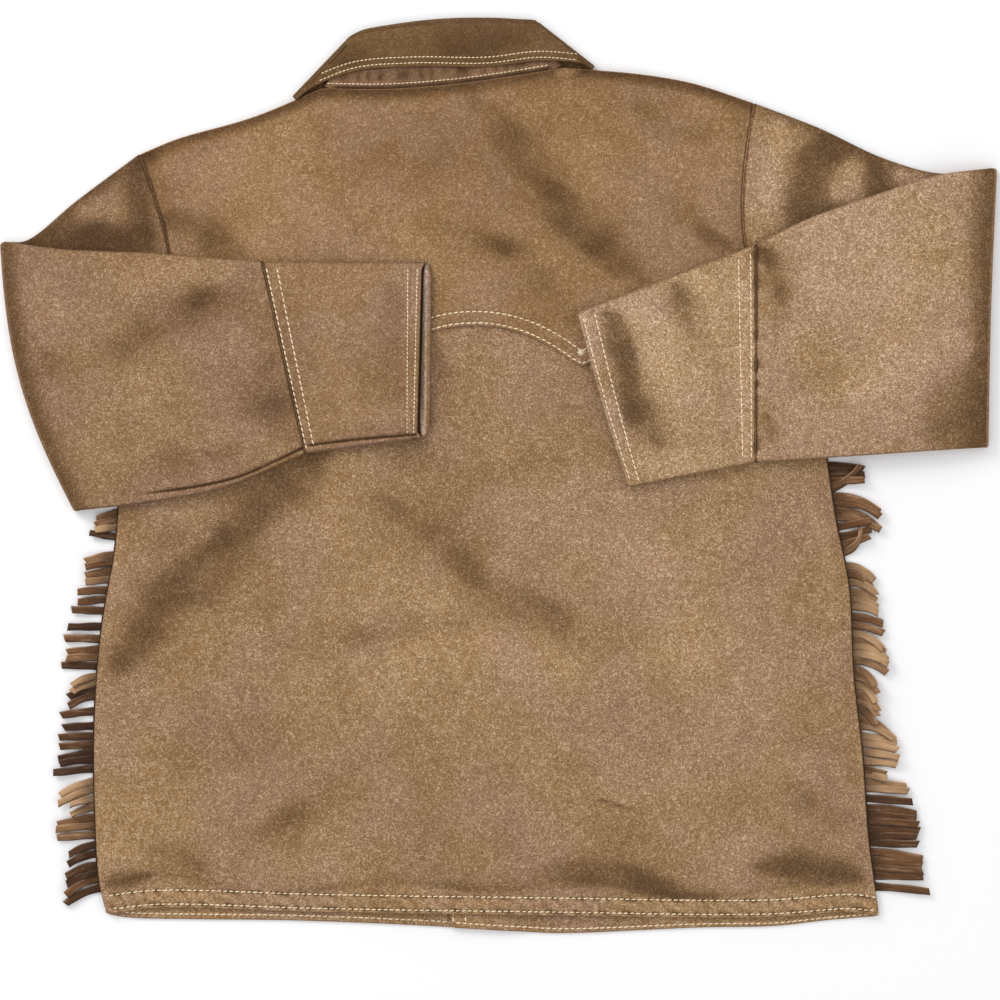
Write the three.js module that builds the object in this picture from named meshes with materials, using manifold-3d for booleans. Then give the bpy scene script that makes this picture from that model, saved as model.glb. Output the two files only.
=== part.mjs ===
// A man's western jacket of brushed suede cloth, laid face down with both sleeves folded over
// its back. Millimetres, +Z up from the surface it lies on. +Y runs from the hem to the collar.
// Left and right are the wearer's: seen from above, the wearer's left is on -X.

import * as THREE from 'three';
import Module from 'manifold-3d';
import { mergeVertices } from 'three/addons/utils/BufferGeometryUtils.js';

const wasm = await Module();
wasm.setup();

// ------------------------------------------------------------------ driving sizes
const CLOTH = 2.0; // suede cloth with its backing
const COLLAR_CLOTH = 1.8;
const SUEDE_THONG = 1.4; // thickness of a fringe strand
const SEAM_GAP = 0.4; // between pieces that are sewn to each other
const LAP_GAP = 0.5; // between pieces that lie on each other
const YOKE_LAP = 12; // how far the back runs up under the yoke
const OVERLAP_FROM = -41; // the right front's closing edge, in X
const OVERLAP_TO = -3; // the left front's closing edge, in X
const FRINGE_INSET = 5; // how far the fronts stop short of the side seam, for the fringe
const STUD_RADIUS = 7.5;
const STUD_HEIGHT = 1.0;

// ------------------------------------------------------------------ heights of the back
const BACK_EDGE = 2.8; // underside of the back at its edges, just clear of the fronts
const BACK_LOWEST = 2.7;
const BACK_PUFF = 1.4; // how much higher it lies away from its edges
const BACK_OVER_OVERLAP = 5.1; // underside where the two fronts lie on each other
const PUFF_SHARE = { side: 0.16, hem: 0.07 }; // shares of the panel in which it rises

const { smoothstep, lerp } = THREE.MathUtils;
const at = ({ x, y }, z = 0) => new THREE.Vector3(x, y, z);
const UP = new THREE.Vector3(0, 0, 1);

// ------------------------------------------------------------------ the cut of the body
const SIDE_LEFT = [
  { x: -321, y: 1 },
  { x: -325, y: -58 },
  { x: -337, y: -130 },
  { x: -343, y: -208 },
  { x: -342.5, y: -290 },
  { x: -339, y: -345 },
  { x: -333, y: -372 },
];
const SIDE_RIGHT = [
  { x: 275, y: 43 },
  { x: 285, y: -30 },
  { x: 297.5, y: -94 },
  { x: 301.5, y: -168 },
  { x: 309, y: -236 },
  { x: 314.5, y: -311 },
  { x: 323.5, y: -374 },
];
// An armhole is a straight line from underarm to shoulder, bowed into the body by a half sine.
const ARMHOLE = {
  left: { under: { x: -321, y: 1 }, tip: { x: -304.7, y: 273 }, bow: 37 },
  right: { under: { x: 275, y: 43 }, tip: { x: 216.8, y: 316.5 }, bow: -34 },
};
const SHOULDER_LEFT = [
  { x: -304.7, y: 273 },
  { x: -271.6, y: 286.5 },
  { x: -207, y: 305 },
  { x: -150, y: 329 },
];
const SHOULDER_RIGHT = [
  { x: 55, y: 346.5 },
  { x: 120, y: 341 },
  { x: 164, y: 333.6 },
  { x: 216.8, y: 316.5 },
];
const BACK_NECK = [
  { x: -150, y: 329 },
  { x: -94, y: 328.5 },
  { x: -39, y: 332.5 },
  { x: -1, y: 337.5 },
  { x: 55, y: 346.5 },
];
const FRONT_NECK_LEFT = [
  { x: -150, y: 329 },
  { x: -138, y: 309 },
  { x: -113, y: 281 },
  { x: -70, y: 260 },
  { x: -22, y: 254 },
  { x: -3, y: 254 },
];
const FRONT_NECK_RIGHT = [
  { x: -41, y: 254 },
  { x: -22, y: 254 },
  { x: 22, y: 263 },
  { x: 52, y: 290 },
  { x: 60, y: 320 },
  { x: 55, y: 346.5 },
];
const BACK_HEM = [
  { x: -333, y: -372 },
  { x: -291, y: -367.2 },
  { x: -152, y: -370.6 },
  { x: 14, y: -373 },
  { x: 226, y: -375.4 },
  { x: 301, y: -370.8 },
  { x: 323.5, y: -374 },
];
const FRONT_HEM_LEFT = [
  { x: -333, y: -372 },
  { x: -316, y: -375 },
  { x: -258, y: -376.6 },
  { x: -186, y: -377.4 },
  { x: -84, y: -381 },
  { x: -3, y: -385.5 },
];
const FRONT_HEM_RIGHT = [
  { x: -41, y: -383.5 },
  { x: 14, y: -387 },
  { x: 55, y: -389 },
  { x: 171, y: -385 },
  { x: 236, y: -384 },
  { x: 280, y: -379.5 },
  { x: 325.5, y: -376 },
];
const UNDERARM_V = 0.56; // share of a panel's height at which the underarm lies
const LOWER_ROWS = [0, 0.03, 0.1, 0.17, 0.24, 0.31, 0.38, 0.45, 0.535, UNDERARM_V];

// The yoke's lower edge: an arch between two points, then a rise to each armhole.
const YOKE = { middle: -20, top: 127.2, halfSpan: 91, point: 91, bow: 2.1, rise: 66, run: 75 };

function yokeEdge(x) {
  const out = Math.abs(x - YOKE.middle);
  if (out < YOKE.halfSpan) {
    return YOKE.top - (YOKE.top - YOKE.point) * (out / YOKE.halfSpan) ** YOKE.bow;
  }
  return YOKE.point + YOKE.rise * (1 - Math.exp((YOKE.halfSpan - out) / YOKE.run));
}

// Broad folds of the back: a soft ridge or trough of this width and height along each line.
const BACK_FOLDS = [
  { x1: -150, y1: 20, x2: -310, y2: -150, width: 34, height: -1.2 },
  { x1: -100, y1: 45, x2: 60, y2: -70, width: 30, height: -1.1 },
  { x1: -180, y1: -40, x2: -30, y2: -110, width: 34, height: 1.3 },
  { x1: 0, y1: -20, x2: 120, y2: -95, width: 32, height: 1.2 },
  { x1: -120, y1: -58, x2: -20, y2: -52, width: 26, height: -0.9 },
  { x1: -190, y1: -180, x2: 70, y2: -165, width: 36, height: 1.4 },
  { x1: -120, y1: -175, x2: -270, y2: -240, width: 34, height: -1.1 },
  { x1: 130, y1: -60, x2: 220, y2: -230, width: 40, height: 1.3 },
  { x1: 230, y1: -330, x2: 310, y2: -318, width: 20, height: -1.2 },
  { x1: 60, y1: -338, x2: 160, y2: -338, width: 22, height: -0.9 },
  { x1: -320, y1: -318, x2: -270, y2: -300, width: 20, height: 1.2 },
  { x1: -60, y1: 300, x2: 90, y2: 190, width: 30, height: -0.9 },
  { x1: 60, y1: 290, x2: 150, y2: 215, width: 28, height: 1.1 },
  { x1: -220, y1: 270, x2: -140, y2: 215, width: 30, height: 1.0 },
];

// ------------------------------------------------------------------ curves and patches
function through(rows) {
  const curve = new THREE.CatmullRomCurve3(rows.map((row) => at(row)), false, 'centripetal');
  return (t) => curve.getPointAt(THREE.MathUtils.clamp(t, 0, 1));
}

// Two curves end to end, the first one up to the parameter `joint`.
function chain(first, joint, second) {
  return (t) => (t < joint ? first(t / joint) : second((t - joint) / (1 - joint)));
}

function armholeCurve({ under, tip, bow }) {
  return (t) => at({
    x: lerp(under.x, tip.x, t) + bow * Math.sin(Math.PI * t),
    y: lerp(under.y, tip.y, t),
  });
}

// A side of a panel from the hem up: the side seam, then the armhole.
function panelSide(seamRows, armhole, inset = 0) {
  const seam = through([...seamRows].reverse());
  const rise = armholeCurve(armhole);
  const [, firstRow] = LOWER_ROWS;
  const lastRow = LOWER_ROWS[LOWER_ROWS.length - 2];
  return (v) => {
    const point = v < UNDERARM_V ? seam(v / UNDERARM_V) : rise((v - UNDERARM_V) / (1 - UNDERARM_V));
    const held = smoothstep(v, 0, firstRow) * (1 - smoothstep(v, lastRow, UNDERARM_V));
    point.x += inset * held;
    return point;
  };
}

// A Coons patch: the smooth sheet that fills four boundary curves.
function coons({ bottom, top, left, right }) {
  const corners = [bottom(0), bottom(1), top(0), top(1)];
  return (u, v) => {
    const upright = bottom(u).multiplyScalar(1 - v).addScaledVector(top(u), v);
    const level = left(v).multiplyScalar(1 - u).addScaledVector(right(v), u);
    const weights = [(1 - u) * (1 - v), u * (1 - v), (1 - u) * v, u * v];
    corners.forEach((corner, k) => level.addScaledVector(corner, -weights[k]));
    return upright.add(level);
  };
}

const NECK_U = { left: 0.297, right: 0.69 }; // where the back's top edge turns into the neck
const FRONT_NECK_U = { left: 0.52, right: 0.4 };

const backSide = {
  left: panelSide(SIDE_LEFT, ARMHOLE.left),
  right: panelSide(SIDE_RIGHT, ARMHOLE.right),
};
const backTop = chain(
  through(SHOULDER_LEFT),
  NECK_U.left,
  chain(
    through(BACK_NECK),
    (NECK_U.right - NECK_U.left) / (1 - NECK_U.left),
    through(SHOULDER_RIGHT),
  ),
);
const wholeBack = coons({ bottom: through(BACK_HEM), top: backTop, ...backSide });

const FRONT_NECK_Y = 254; // the fronts' neckline at their closing edges
const CLOSING_HEM_Y = { left: -385.5, right: -383.5 };

const frontLeftCut = coons({
  bottom: through(FRONT_HEM_LEFT),
  top: chain(through(SHOULDER_LEFT), FRONT_NECK_U.left, through(FRONT_NECK_LEFT)),
  left: panelSide(SIDE_LEFT, ARMHOLE.left, FRINGE_INSET),
  right: (v) => at({ x: OVERLAP_TO, y: lerp(CLOSING_HEM_Y.left, FRONT_NECK_Y, v) }),
});
const frontRightCut = coons({
  bottom: through(FRONT_HEM_RIGHT),
  top: chain(through(FRONT_NECK_RIGHT), FRONT_NECK_U.right, through(SHOULDER_RIGHT)),
  left: (v) => at({ x: OVERLAP_FROM, y: lerp(CLOSING_HEM_Y.right, FRONT_NECK_Y, v) }),
  right: panelSide(SIDE_RIGHT, ARMHOLE.right, -FRINGE_INSET),
});

// ------------------------------------------------------------------ how high the layers lie
const COLLAR_ZONE = { x: -43, y: 322, halfWidth: 147, depth: 140, full: 1.12, none: 1.32 };
const OVERLAP_RAMP = 32; // how fast the right front comes down from the left one
const OVERLAP_ZONE = { full: 46, none: 110, neckFrom: 262, neckTo: 310 };

// The fronts ride over the collar's fall, which is folded out beneath them round the neck.
function collarLift(x, y) {
  const { halfWidth, depth, full, none } = COLLAR_ZONE;
  const away = Math.hypot((x - COLLAR_ZONE.x) / halfWidth, (y - COLLAR_ZONE.y) / depth);
  return 1 - smoothstep(away, full, none);
}

const COLLAR_LIFT = COLLAR_CLOTH + SEAM_GAP;
const frontLeftUnder = (x, y) => COLLAR_LIFT * collarLift(x, y);
const frontRightUnder = (x, y) =>
  COLLAR_LIFT * collarLift(x, y) + (CLOTH + LAP_GAP) * (1 - smoothstep(x, 0, OVERLAP_RAMP));

// 1 over the fronts' overlap, 0 well away from it and above the fronts' neckline.
function overOverlap(x, y) {
  const away = Math.abs(x - (OVERLAP_FROM + OVERLAP_TO) / 2);
  const { full, none, neckFrom, neckTo } = OVERLAP_ZONE;
  return (1 - smoothstep(away, full, none)) * (1 - smoothstep(y, neckFrom, neckTo));
}

function foldHeight(folds, x, y) {
  let height = 0;
  for (const fold of folds) {
    const along = { x: fold.x2 - fold.x1, y: fold.y2 - fold.y1 };
    const share = ((x - fold.x1) * along.x + (y - fold.y1) * along.y) / (along.x ** 2 + along.y ** 2);
    const near = THREE.MathUtils.clamp(share, 0, 1);
    const away = Math.hypot(x - fold.x1 - near * along.x, y - fold.y1 - near * along.y);
    height += fold.height * Math.exp(-((away / fold.width) ** 2));
  }
  return height;
}

// Height of the back's underside at (u, v) of the whole back, above its thinner edges.
function backUnder(u, v) {
  const { x, y } = wholeBack(u, v);
  const lift = collarLift(x, y);
  const fromSide = smoothstep(Math.min(u, 1 - u), 0, PUFF_SHARE.side);
  const fromHem = smoothstep(Math.min(v, 1 - v), 0, PUFF_SHARE.hem);
  const puff = BACK_PUFF * (1 - lift) + foldHeight(BACK_FOLDS, x, y);
  const free = BACK_EDGE + COLLAR_LIFT * lift + fromSide * fromHem * puff;
  const raised = Math.max(free, BACK_OVER_OVERLAP + COLLAR_LIFT * lift);
  return lerp(Math.max(free, BACK_LOWEST), raised, overOverlap(x, y));
}

// ------------------------------------------------------------------ solids from grids of points
function solid(points, faces) {
  const geometry = new THREE.BufferGeometry();
  const numbers = points.flatMap((p) => p.toArray());
  geometry.setAttribute('position', new THREE.Float32BufferAttribute(numbers, 3));
  geometry.setIndex(faces);
  const corner = (k) => points[faces[k]];
  let volume = 0;
  for (let k = 0; k < faces.length; k += 3) {
    volume += corner(k).dot(new THREE.Vector3().crossVectors(corner(k + 1), corner(k + 2)));
  }
  if (volume < 0) {
    geometry.setIndex([...faces].reverse());
  }
  return geometry;
}

const quad = (a, b, c, d) => [a, b, c, a, c, d];

// A wall between two matching grids of points, closed along its four edges.
function wall(outer, inner) {
  const rows = outer.length;
  const columns = outer[0].length;
  const points = [...outer.flat(), ...inner.flat()];
  const far = rows * columns;
  const id = (r, c) => r * columns + c;
  const faces = [];
  for (let r = 0; r < rows - 1; r += 1) {
    for (let c = 0; c < columns - 1; c += 1) {
      const cell = [id(r, c), id(r, c + 1), id(r + 1, c + 1), id(r + 1, c)];
      faces.push(...quad(...cell));
      faces.push(...quad(...cell.map((k) => k + far).reverse()));
    }
    faces.push(...quad(id(r + 1, 0), id(r + 1, 0) + far, id(r, 0) + far, id(r, 0)));
    const last = columns - 1;
    faces.push(...quad(id(r, last), id(r, last) + far, id(r + 1, last) + far, id(r + 1, last)));
  }
  for (let c = 0; c < columns - 1; c += 1) {
    faces.push(...quad(id(0, c), id(0, c) + far, id(0, c + 1) + far, id(0, c + 1)));
    const last = rows - 1;
    faces.push(...quad(id(last, c + 1), id(last, c + 1) + far, id(last, c) + far, id(last, c)));
  }
  return solid(points, faces);
}

// A tube wall between two matching stacks of rings, open at both ends.
function tube(outer, inner) {
  const count = outer[0].length;
  const points = [...outer.flat(), ...inner.flat()];
  const far = outer.length * count;
  const id = (r, k) => r * count + (k % count);
  const faces = [];
  for (let k = 0; k < count; k += 1) {
    for (let r = 0; r < outer.length - 1; r += 1) {
      const cell = [id(r, k), id(r, k + 1), id(r + 1, k + 1), id(r + 1, k)];
      faces.push(...quad(...cell));
      faces.push(...quad(...cell.map((n) => n + far).reverse()));
    }
    const last = outer.length - 1;
    faces.push(...quad(id(0, k), id(0, k) + far, id(0, k + 1) + far, id(0, k + 1)));
    faces.push(...quad(id(last, k + 1), id(last, k + 1) + far, id(last, k) + far, id(last, k)));
  }
  return solid(points, faces);
}

function toManifold(geometry) {
  const bare = geometry.clone();
  bare.deleteAttribute('normal');
  bare.deleteAttribute('uv');
  const merged = mergeVertices(bare, 1e-4);
  return new wasm.Manifold(new wasm.Mesh({
    numProp: 3,
    vertProperties: new Float32Array(merged.attributes.position.array),
    triVerts: new Uint32Array(merged.index.array),
  }));
}

function fromManifold(body) {
  const mesh = body.getMesh();
  const geometry = new THREE.BufferGeometry();
  const numbers = new Float32Array(mesh.vertProperties);
  geometry.setAttribute('position', new THREE.BufferAttribute(numbers, 3));
  geometry.setIndex(new THREE.BufferAttribute(new Uint32Array(mesh.triVerts), 1));
  return geometry;
}

// ------------------------------------------------------------------ materials and assembly
const jacket = new THREE.Group();

function cloth(colour) {
  return new THREE.MeshStandardMaterial({ color: colour, roughness: 0.85, metalness: 0 });
}

const SUEDE = 0x93734f;
const COLLAR_SUEDE = 0x71553a;
const FRINGE_SUEDE = 0x573b26;

function add(name, geometry, material) {
  const mesh = new THREE.Mesh(geometry, material);
  mesh.name = name;
  jacket.add(mesh);
}

// ------------------------------------------------------------------ fronts
const steps = (count) => Array.from({ length: count + 1 }, (_, k) => k / count);

// Moves the value nearest to each wanted one onto it, so that a corner falls on a column.
function snapped(values, wanted) {
  const result = [...values];
  for (const value of wanted) {
    const gaps = result.map((other) => Math.abs(other - value));
    result[gaps.indexOf(Math.min(...gaps))] = value;
  }
  return result;
}

const UPPER_ROWS = [0.61, 0.66, 0.71, 0.76, 0.81, 0.86, 0.91, 0.955, 1];

function frontPanel(cut, under, columns) {
  const rows = [...LOWER_ROWS, ...UPPER_ROWS];
  const lay = (raise) => rows.map((v) => columns.map((u) => {
    const point = cut(u, v);
    point.z = under(point.x, point.y) + raise;
    return point;
  }));
  return wall(lay(CLOTH), lay(0));
}

const frontColumns = {
  left: snapped(steps(11), [FRONT_NECK_U.left]),
  right: [0, 0.055, 0.113, 0.2, 0.3, FRONT_NECK_U.right, 0.5, 0.6, 0.7, 0.8, 0.9, 1],
};

// Press studs close the front. Their caps are sunk in the left front's outer face, flush with it.
const STUD_LINE = { x: (OVERLAP_FROM + OVERLAP_TO) / 2, y: 90, spacing: 84, count: 6 };
const STUD_SIDES = 14;

function stud(k, radius, height) {
  const profile = [[0, 0], [radius, 0], [radius, height], [0, height]];
  const cap = new THREE.LatheGeometry(profile.map(([r, h]) => new THREE.Vector2(r, h)), STUD_SIDES);
  cap.rotateX(Math.PI / 2);
  cap.translate(STUD_LINE.x, STUD_LINE.y - k * STUD_LINE.spacing, 0);
  return cap;
}

function studded(panel) {
  let body = toManifold(panel);
  for (let k = 0; k < STUD_LINE.count; k += 1) {
    const pocket = stud(k, STUD_RADIUS + SEAM_GAP, STUD_HEIGHT + 2 * SEAM_GAP);
    pocket.translate(0, 0, -SEAM_GAP);
    body = body.subtract(toManifold(pocket));
  }
  return fromManifold(body);
}

add('front_left', studded(frontPanel(frontLeftCut, frontLeftUnder, frontColumns.left)), cloth(SUEDE));
add('front_right', frontPanel(frontRightCut, frontRightUnder, frontColumns.right), cloth(SUEDE));
for (let k = 0; k < STUD_LINE.count; k += 1) {
  const metal = new THREE.MeshStandardMaterial({ color: 0x8c7a5a, roughness: 0.4, metalness: 0.8 });
  add(`stud_${k + 1}`, stud(k, STUD_RADIUS, STUD_HEIGHT), metal);
}

// ------------------------------------------------------------------ back and yoke
const HALVINGS = 30;

// The share v of the back's height at which column u meets the yoke's lower edge.
function yokeShare(u) {
  let low = UNDERARM_V;
  let high = 0.95;
  for (let k = 0; k < HALVINGS; k += 1) {
    const middle = (low + high) / 2;
    const { x, y } = wholeBack(u, middle);
    if (y < yokeEdge(x)) {
      low = middle;
    } else {
      high = middle;
    }
  }
  return low;
}

// The column whose crossing with the yoke's edge lies at x.
function columnAt(x) {
  let low = 0;
  let high = 1;
  for (let k = 0; k < HALVINGS; k += 1) {
    const middle = (low + high) / 2;
    if (wholeBack(middle, yokeShare(middle)).x < x) {
      low = middle;
    } else {
      high = middle;
    }
  }
  return low;
}

const yokePoints = [-1, 1].map((side) => columnAt(YOKE.middle + side * YOKE.halfSpan));
const backColumns = snapped(steps(22), [NECK_U.left, NECK_U.right, ...yokePoints]);
const BACK_SPAN = 672; // from hem to shoulder, to turn a length into a share of it
const YOKE_LAP_END = YOKE_LAP + 4; // from here up the yoke comes down from the back's lap
const YOKE_SETTLED = 45; // and here it has reached the back's own level

function backSheet(rowsOf, under, thickness) {
  const columns = backColumns.map((u) => rowsOf(u).map((v) => {
    const point = wholeBack(u, v);
    return { low: at(point, under(u, v)), high: at(point, under(u, v) + thickness) };
  }));
  const grid = (key) => columns[0].map((_, r) => columns.map((column) => column[r][key]));
  return wall(grid('high'), grid('low'));
}

function backRows(u) {
  const edge = yokeShare(u);
  const upper = [0.25, 0.5, 0.75, 1].map((share) => lerp(UNDERARM_V, edge, share));
  return [...LOWER_ROWS, ...upper, edge + YOKE_LAP / BACK_SPAN];
}

function yokeRows(u) {
  const edge = yokeShare(u);
  const lapEnd = edge + YOKE_LAP_END / BACK_SPAN;
  const settled = edge + YOKE_SETTLED / BACK_SPAN;
  const upper = [0.2, 0.4, 0.6, 0.8, 1].map((share) => lerp(settled, 1, share));
  return [edge, lapEnd, settled, ...upper];
}

// The yoke lies on the back along its lower edge and drops to the back's level above it.
function yokeUnder(u, v) {
  const above = (v - yokeShare(u)) * BACK_SPAN;
  const down = smoothstep(above, YOKE_LAP_END + 0.5, YOKE_SETTLED - 1);
  return backUnder(u, v) + (CLOTH + LAP_GAP) * (1 - down);
}

add('back', backSheet(backRows, backUnder, CLOTH), cloth(SUEDE));
add('yoke', backSheet(yokeRows, yokeUnder, CLOTH), cloth(SUEDE));

// ------------------------------------------------------------------ flattened tubes
const TUBE_HALF = CLOTH / 2 + 0.4; // from a tube's middle to the middle of its wall, at its edges
const WALL_STEPS = 8;
const WALL_CLEAR = 0.3; // the most that a trough may press an outer wall inwards
const TURN_ANGLES = [45, 90, 135].map((angle) => THREE.MathUtils.degToRad(angle));

// One ring of a flattened tube. p and q are its outer edges, n points away from its middle on the
// inside of the fold, crownIn and crownOut puff the two walls, bow bends it and lean tilts it.
function ring(station, offset) {
  const { p, q, n, bow, half = TUBE_HALF, lean = 0, path } = station;
  const across = new THREE.Vector3().subVectors(q, p);
  const length = across.length();
  across.normalize();
  const margin = half + CLOTH / 2;
  const place = (a, b) => {
    const share = THREE.MathUtils.clamp(a / length, 0, 1);
    const point = p.clone().addScaledVector(across, a).addScaledVector(n, b);
    point.addScaledVector(bow, Math.sin(Math.PI * share));
    if (lean !== 0) {
      point.addScaledVector(path, lean * THREE.MathUtils.clamp(b / half, -1, 1));
    }
    return point;
  };
  const wallShares = steps(WALL_STEPS);
  const puff = (share, crown) => crown * Math.sin(Math.PI * share);
  const run = (share) => lerp(margin, length - margin, share);
  const radius = half + offset;
  const crownOut = (share) => {
    const rough = puff(share, station.crownOut);
    const { x, y } = place(run(share), 0);
    const soft = Math.sin(Math.PI * share) ** 0.5;
    return Math.max(rough + soft * foldHeight(station.folds ?? [], x, y), -WALL_CLEAR);
  };
  return [
    ...wallShares.map((share) => place(run(share), radius + puff(share, station.crownIn))),
    ...TURN_ANGLES.map((b) => place(run(1) + radius * Math.sin(b), radius * Math.cos(b))),
    ...wallShares.map((share) => place(run(1 - share), -radius - crownOut(1 - share))),
    ...TURN_ANGLES.map((b) => place(run(0) - radius * Math.sin(b), -radius * Math.cos(b))),
  ];
}

function flatTube(stations) {
  return tube(
    stations.map((station) => ring(station, CLOTH / 2)),
    stations.map((station) => ring(station, -CLOTH / 2)),
  );
}

// ------------------------------------------------------------------ sleeves
// A sleeve runs out from its armhole on the floor, turns over at its fold and comes back over
// the body. Crown edges are towards the collar and underarm edges towards the hem.
const SLEEVE_REST = 10.2; // underside of the sleeves where they lie on the back
const ARMHOLE_SLACK = 0.6; // the sleeve's head is cut this much short of the bowed armhole
const FOLD_RADIUS = TUBE_HALF + CLOTH / 2 + 0.4;
const FOLD_REACH = FOLD_RADIUS + TUBE_HALF + CLOTH / 2;
const UNDER_SHARES = [0, 0.35, 0.7, 1]; // sections from the armhole out to the fold
const OVER_SHARES = [0, 0.14, 0.3, 0.48, 0.66, 0.83, 1]; // and back from the fold to the cuff
const CUFF_SHARES = [0, 0.3, 0.65, 1];
const CROWN = { armhole: 0.9, fold: 0.2, afterFold: 0.4, arm: 2.2 }; // how far the walls puff
const CUFF_SLACK = 0.3; // a cuff stands this much more open than the sleeve

const SLEEVES = {
  left: {
    armhole: ARMHOLE.left,
    outward: -1,
    fold: { crown: { x: -423.3, y: 197.5 }, underarm: { x: -360, y: -30.6 }, bow: 15 },
    underCrown: [{ x: -358.3, y: 233.8 }, { x: -401, y: 200 }],
    overCrown: [{ x: -372.7, y: 192.5 }, { x: -287.7, y: 188.7 }, { x: -200.2, y: 181.9 }],
    overUnderarm: [{ x: -302, y: -23 }, { x: -234, y: -10.2 }, { x: -163.6, y: 19 }],
    cuff: {
      crown: { x: -60.8, y: 181.3 },
      underarm: { x: -66.5, y: 32 },
      underarmStart: { x: -163.6, y: 19 },
      mouth: 6.4,
      lean: 4.2,
      bow: 0,
    },
    folds: [
      { x1: -200, y1: 178, x2: -315, y2: 104, width: 20, height: -1.3 },
      { x1: -208, y1: 70, x2: -178, y2: 38, width: 16, height: -1.1 },
      { x1: -330, y1: 40, x2: -230, y2: 110, width: 24, height: 1.2 },
      { x1: -400, y1: 120, x2: -345, y2: 60, width: 22, height: 0.8 },
    ],
  },
  right: {
    armhole: ARMHOLE.right,
    outward: 1,
    fold: { crown: { x: 423.3, y: 261 }, underarm: { x: 416, y: 23.8 }, bow: -1.5 },
    underCrown: [{ x: 272.4, y: 295.5 }, { x: 326.8, y: 270 }, { x: 375.3, y: 257 }],
    overCrown: [
      { x: 375.3, y: 255.5 },
      { x: 313.2, y: 236.3 },
      { x: 261.4, y: 217.6 },
      { x: 220.6, y: 197 },
    ],
    overUnderarm: [{ x: 380.4, y: 22.1 }, { x: 280, y: 15.3 }, { x: 217.6, y: 11.5 }],
    cuff: {
      crown: { x: 67.6, y: 138.6 },
      underarm: { x: 110.9, y: -9.4 },
      underarmStart: { x: 217.6, y: 11.5 },
      mouth: 1.4,
      lean: 0,
      bow: 6,
    },
    folds: [
      { x1: 93, y1: 137, x2: 143, y2: 25, width: 18, height: -1.2 },
      { x1: 230, y1: 190, x2: 240, y2: 160, width: 14, height: -0.9 },
      { x1: 300, y1: 200, x2: 380, y2: 90, width: 30, height: 1.0 },
      { x1: 270, y1: 70, x2: 400, y2: 60, width: 26, height: -0.9 },
    ],
  },
};

function outwardOf({ fold, outward }) {
  const across = new THREE.Vector3().subVectors(at(fold.underarm), at(fold.crown)).normalize();
  const side = new THREE.Vector3().crossVectors(across, UP);
  return side.multiplyScalar(Math.sign(side.x) * outward);
}

function sleeveStations(sleeve) {
  const { armhole, fold, outward } = sleeve;
  const out = outwardOf(sleeve);
  const foldCrown = at(fold.crown).addScaledVector(out, -FOLD_REACH);
  const foldUnderarm = at(fold.underarm).addScaledVector(out, -FOLD_REACH);
  const clear = outward * (SEAM_GAP + ARMHOLE_SLACK);
  const start = {
    crown: at(armhole.tip).add(new THREE.Vector3(clear, 0, 0)),
    underarm: at(armhole.under).add(new THREE.Vector3(clear, 0, 0)),
  };
  const armBow = new THREE.Vector3(armhole.bow, 0, 0);
  const foldBow = out.clone().multiplyScalar(fold.bow);
  const low = TUBE_HALF + CLOTH / 2;
  const rest = SLEEVE_REST + TUBE_HALF + CLOTH / 2;
  const underCrown = through([start.crown, ...sleeve.underCrown, foldCrown]);
  const underUnderarm = through([start.underarm, foldUnderarm]);
  const overCrown = through([foldCrown, ...sleeve.overCrown]);
  const overUnderarm = through([foldUnderarm, ...sleeve.overUnderarm]);
  const stations = [];
  for (const t of UNDER_SHARES) {
    stations.push({
      p: at(underCrown(t), low),
      q: at(underUnderarm(t), low),
      n: UP,
      bow: armBow.clone().lerp(foldBow, t),
      crownIn: lerp(CROWN.armhole, CROWN.fold, t),
      crownOut: 0,
    });
  }
  for (const turn of TURN_ANGLES) {
    const shift = out.clone().multiplyScalar(FOLD_RADIUS * Math.sin(turn));
    shift.z = low + FOLD_RADIUS * (1 - Math.cos(turn));
    stations.push({
      p: foldCrown.clone().add(shift),
      q: foldUnderarm.clone().add(shift),
      n: UP.clone().multiplyScalar(Math.cos(turn)).addScaledVector(out, -Math.sin(turn)),
      bow: foldBow,
      crownIn: CROWN.fold,
      crownOut: CROWN.fold,
    });
  }
  for (const t of OVER_SHARES) {
    const height = lerp(low + 2 * FOLD_RADIUS, rest, smoothstep(t, -0.05, 0.3));
    stations.push({
      p: at(overCrown(t), height),
      q: at(overUnderarm(t), height),
      n: UP.clone().negate(),
      bow: foldBow.clone().multiplyScalar(1 - smoothstep(t, 0, 0.8)),
      crownIn: 0,
      crownOut: lerp(CROWN.afterFold, CROWN.arm, smoothstep(t, 0, 0.4)),
      folds: sleeve.folds,
    });
  }
  return stations;
}

function cuffStations(sleeve) {
  const { cuff, overCrown, folds } = sleeve;
  const half = TUBE_HALF + CUFF_SLACK;
  const height = SLEEVE_REST + TUBE_HALF + CLOTH / 2;
  const start = { crown: at(overCrown[overCrown.length - 1]), underarm: at(cuff.underarmStart) };
  const end = { crown: at(cuff.crown), underarm: at(cuff.underarm) };
  const path = new THREE.Vector3().addVectors(end.crown, end.underarm);
  path.sub(start.crown).sub(start.underarm).normalize();
  start.crown.addScaledVector(path, SEAM_GAP + 0.2);
  start.underarm.addScaledVector(path, SEAM_GAP + 0.2);
  return CUFF_SHARES.map((t) => ({
    p: at(start.crown.clone().lerp(end.crown, t), height),
    q: at(start.underarm.clone().lerp(end.underarm, t), height),
    n: UP.clone().negate(),
    bow: path.clone().multiplyScalar(cuff.bow * t),
    crownIn: 0,
    crownOut: lerp(CROWN.arm, cuff.mouth, smoothstep(t, 0, 1)),
    lean: cuff.lean * t,
    half,
    path,
    folds,
  }));
}

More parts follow.
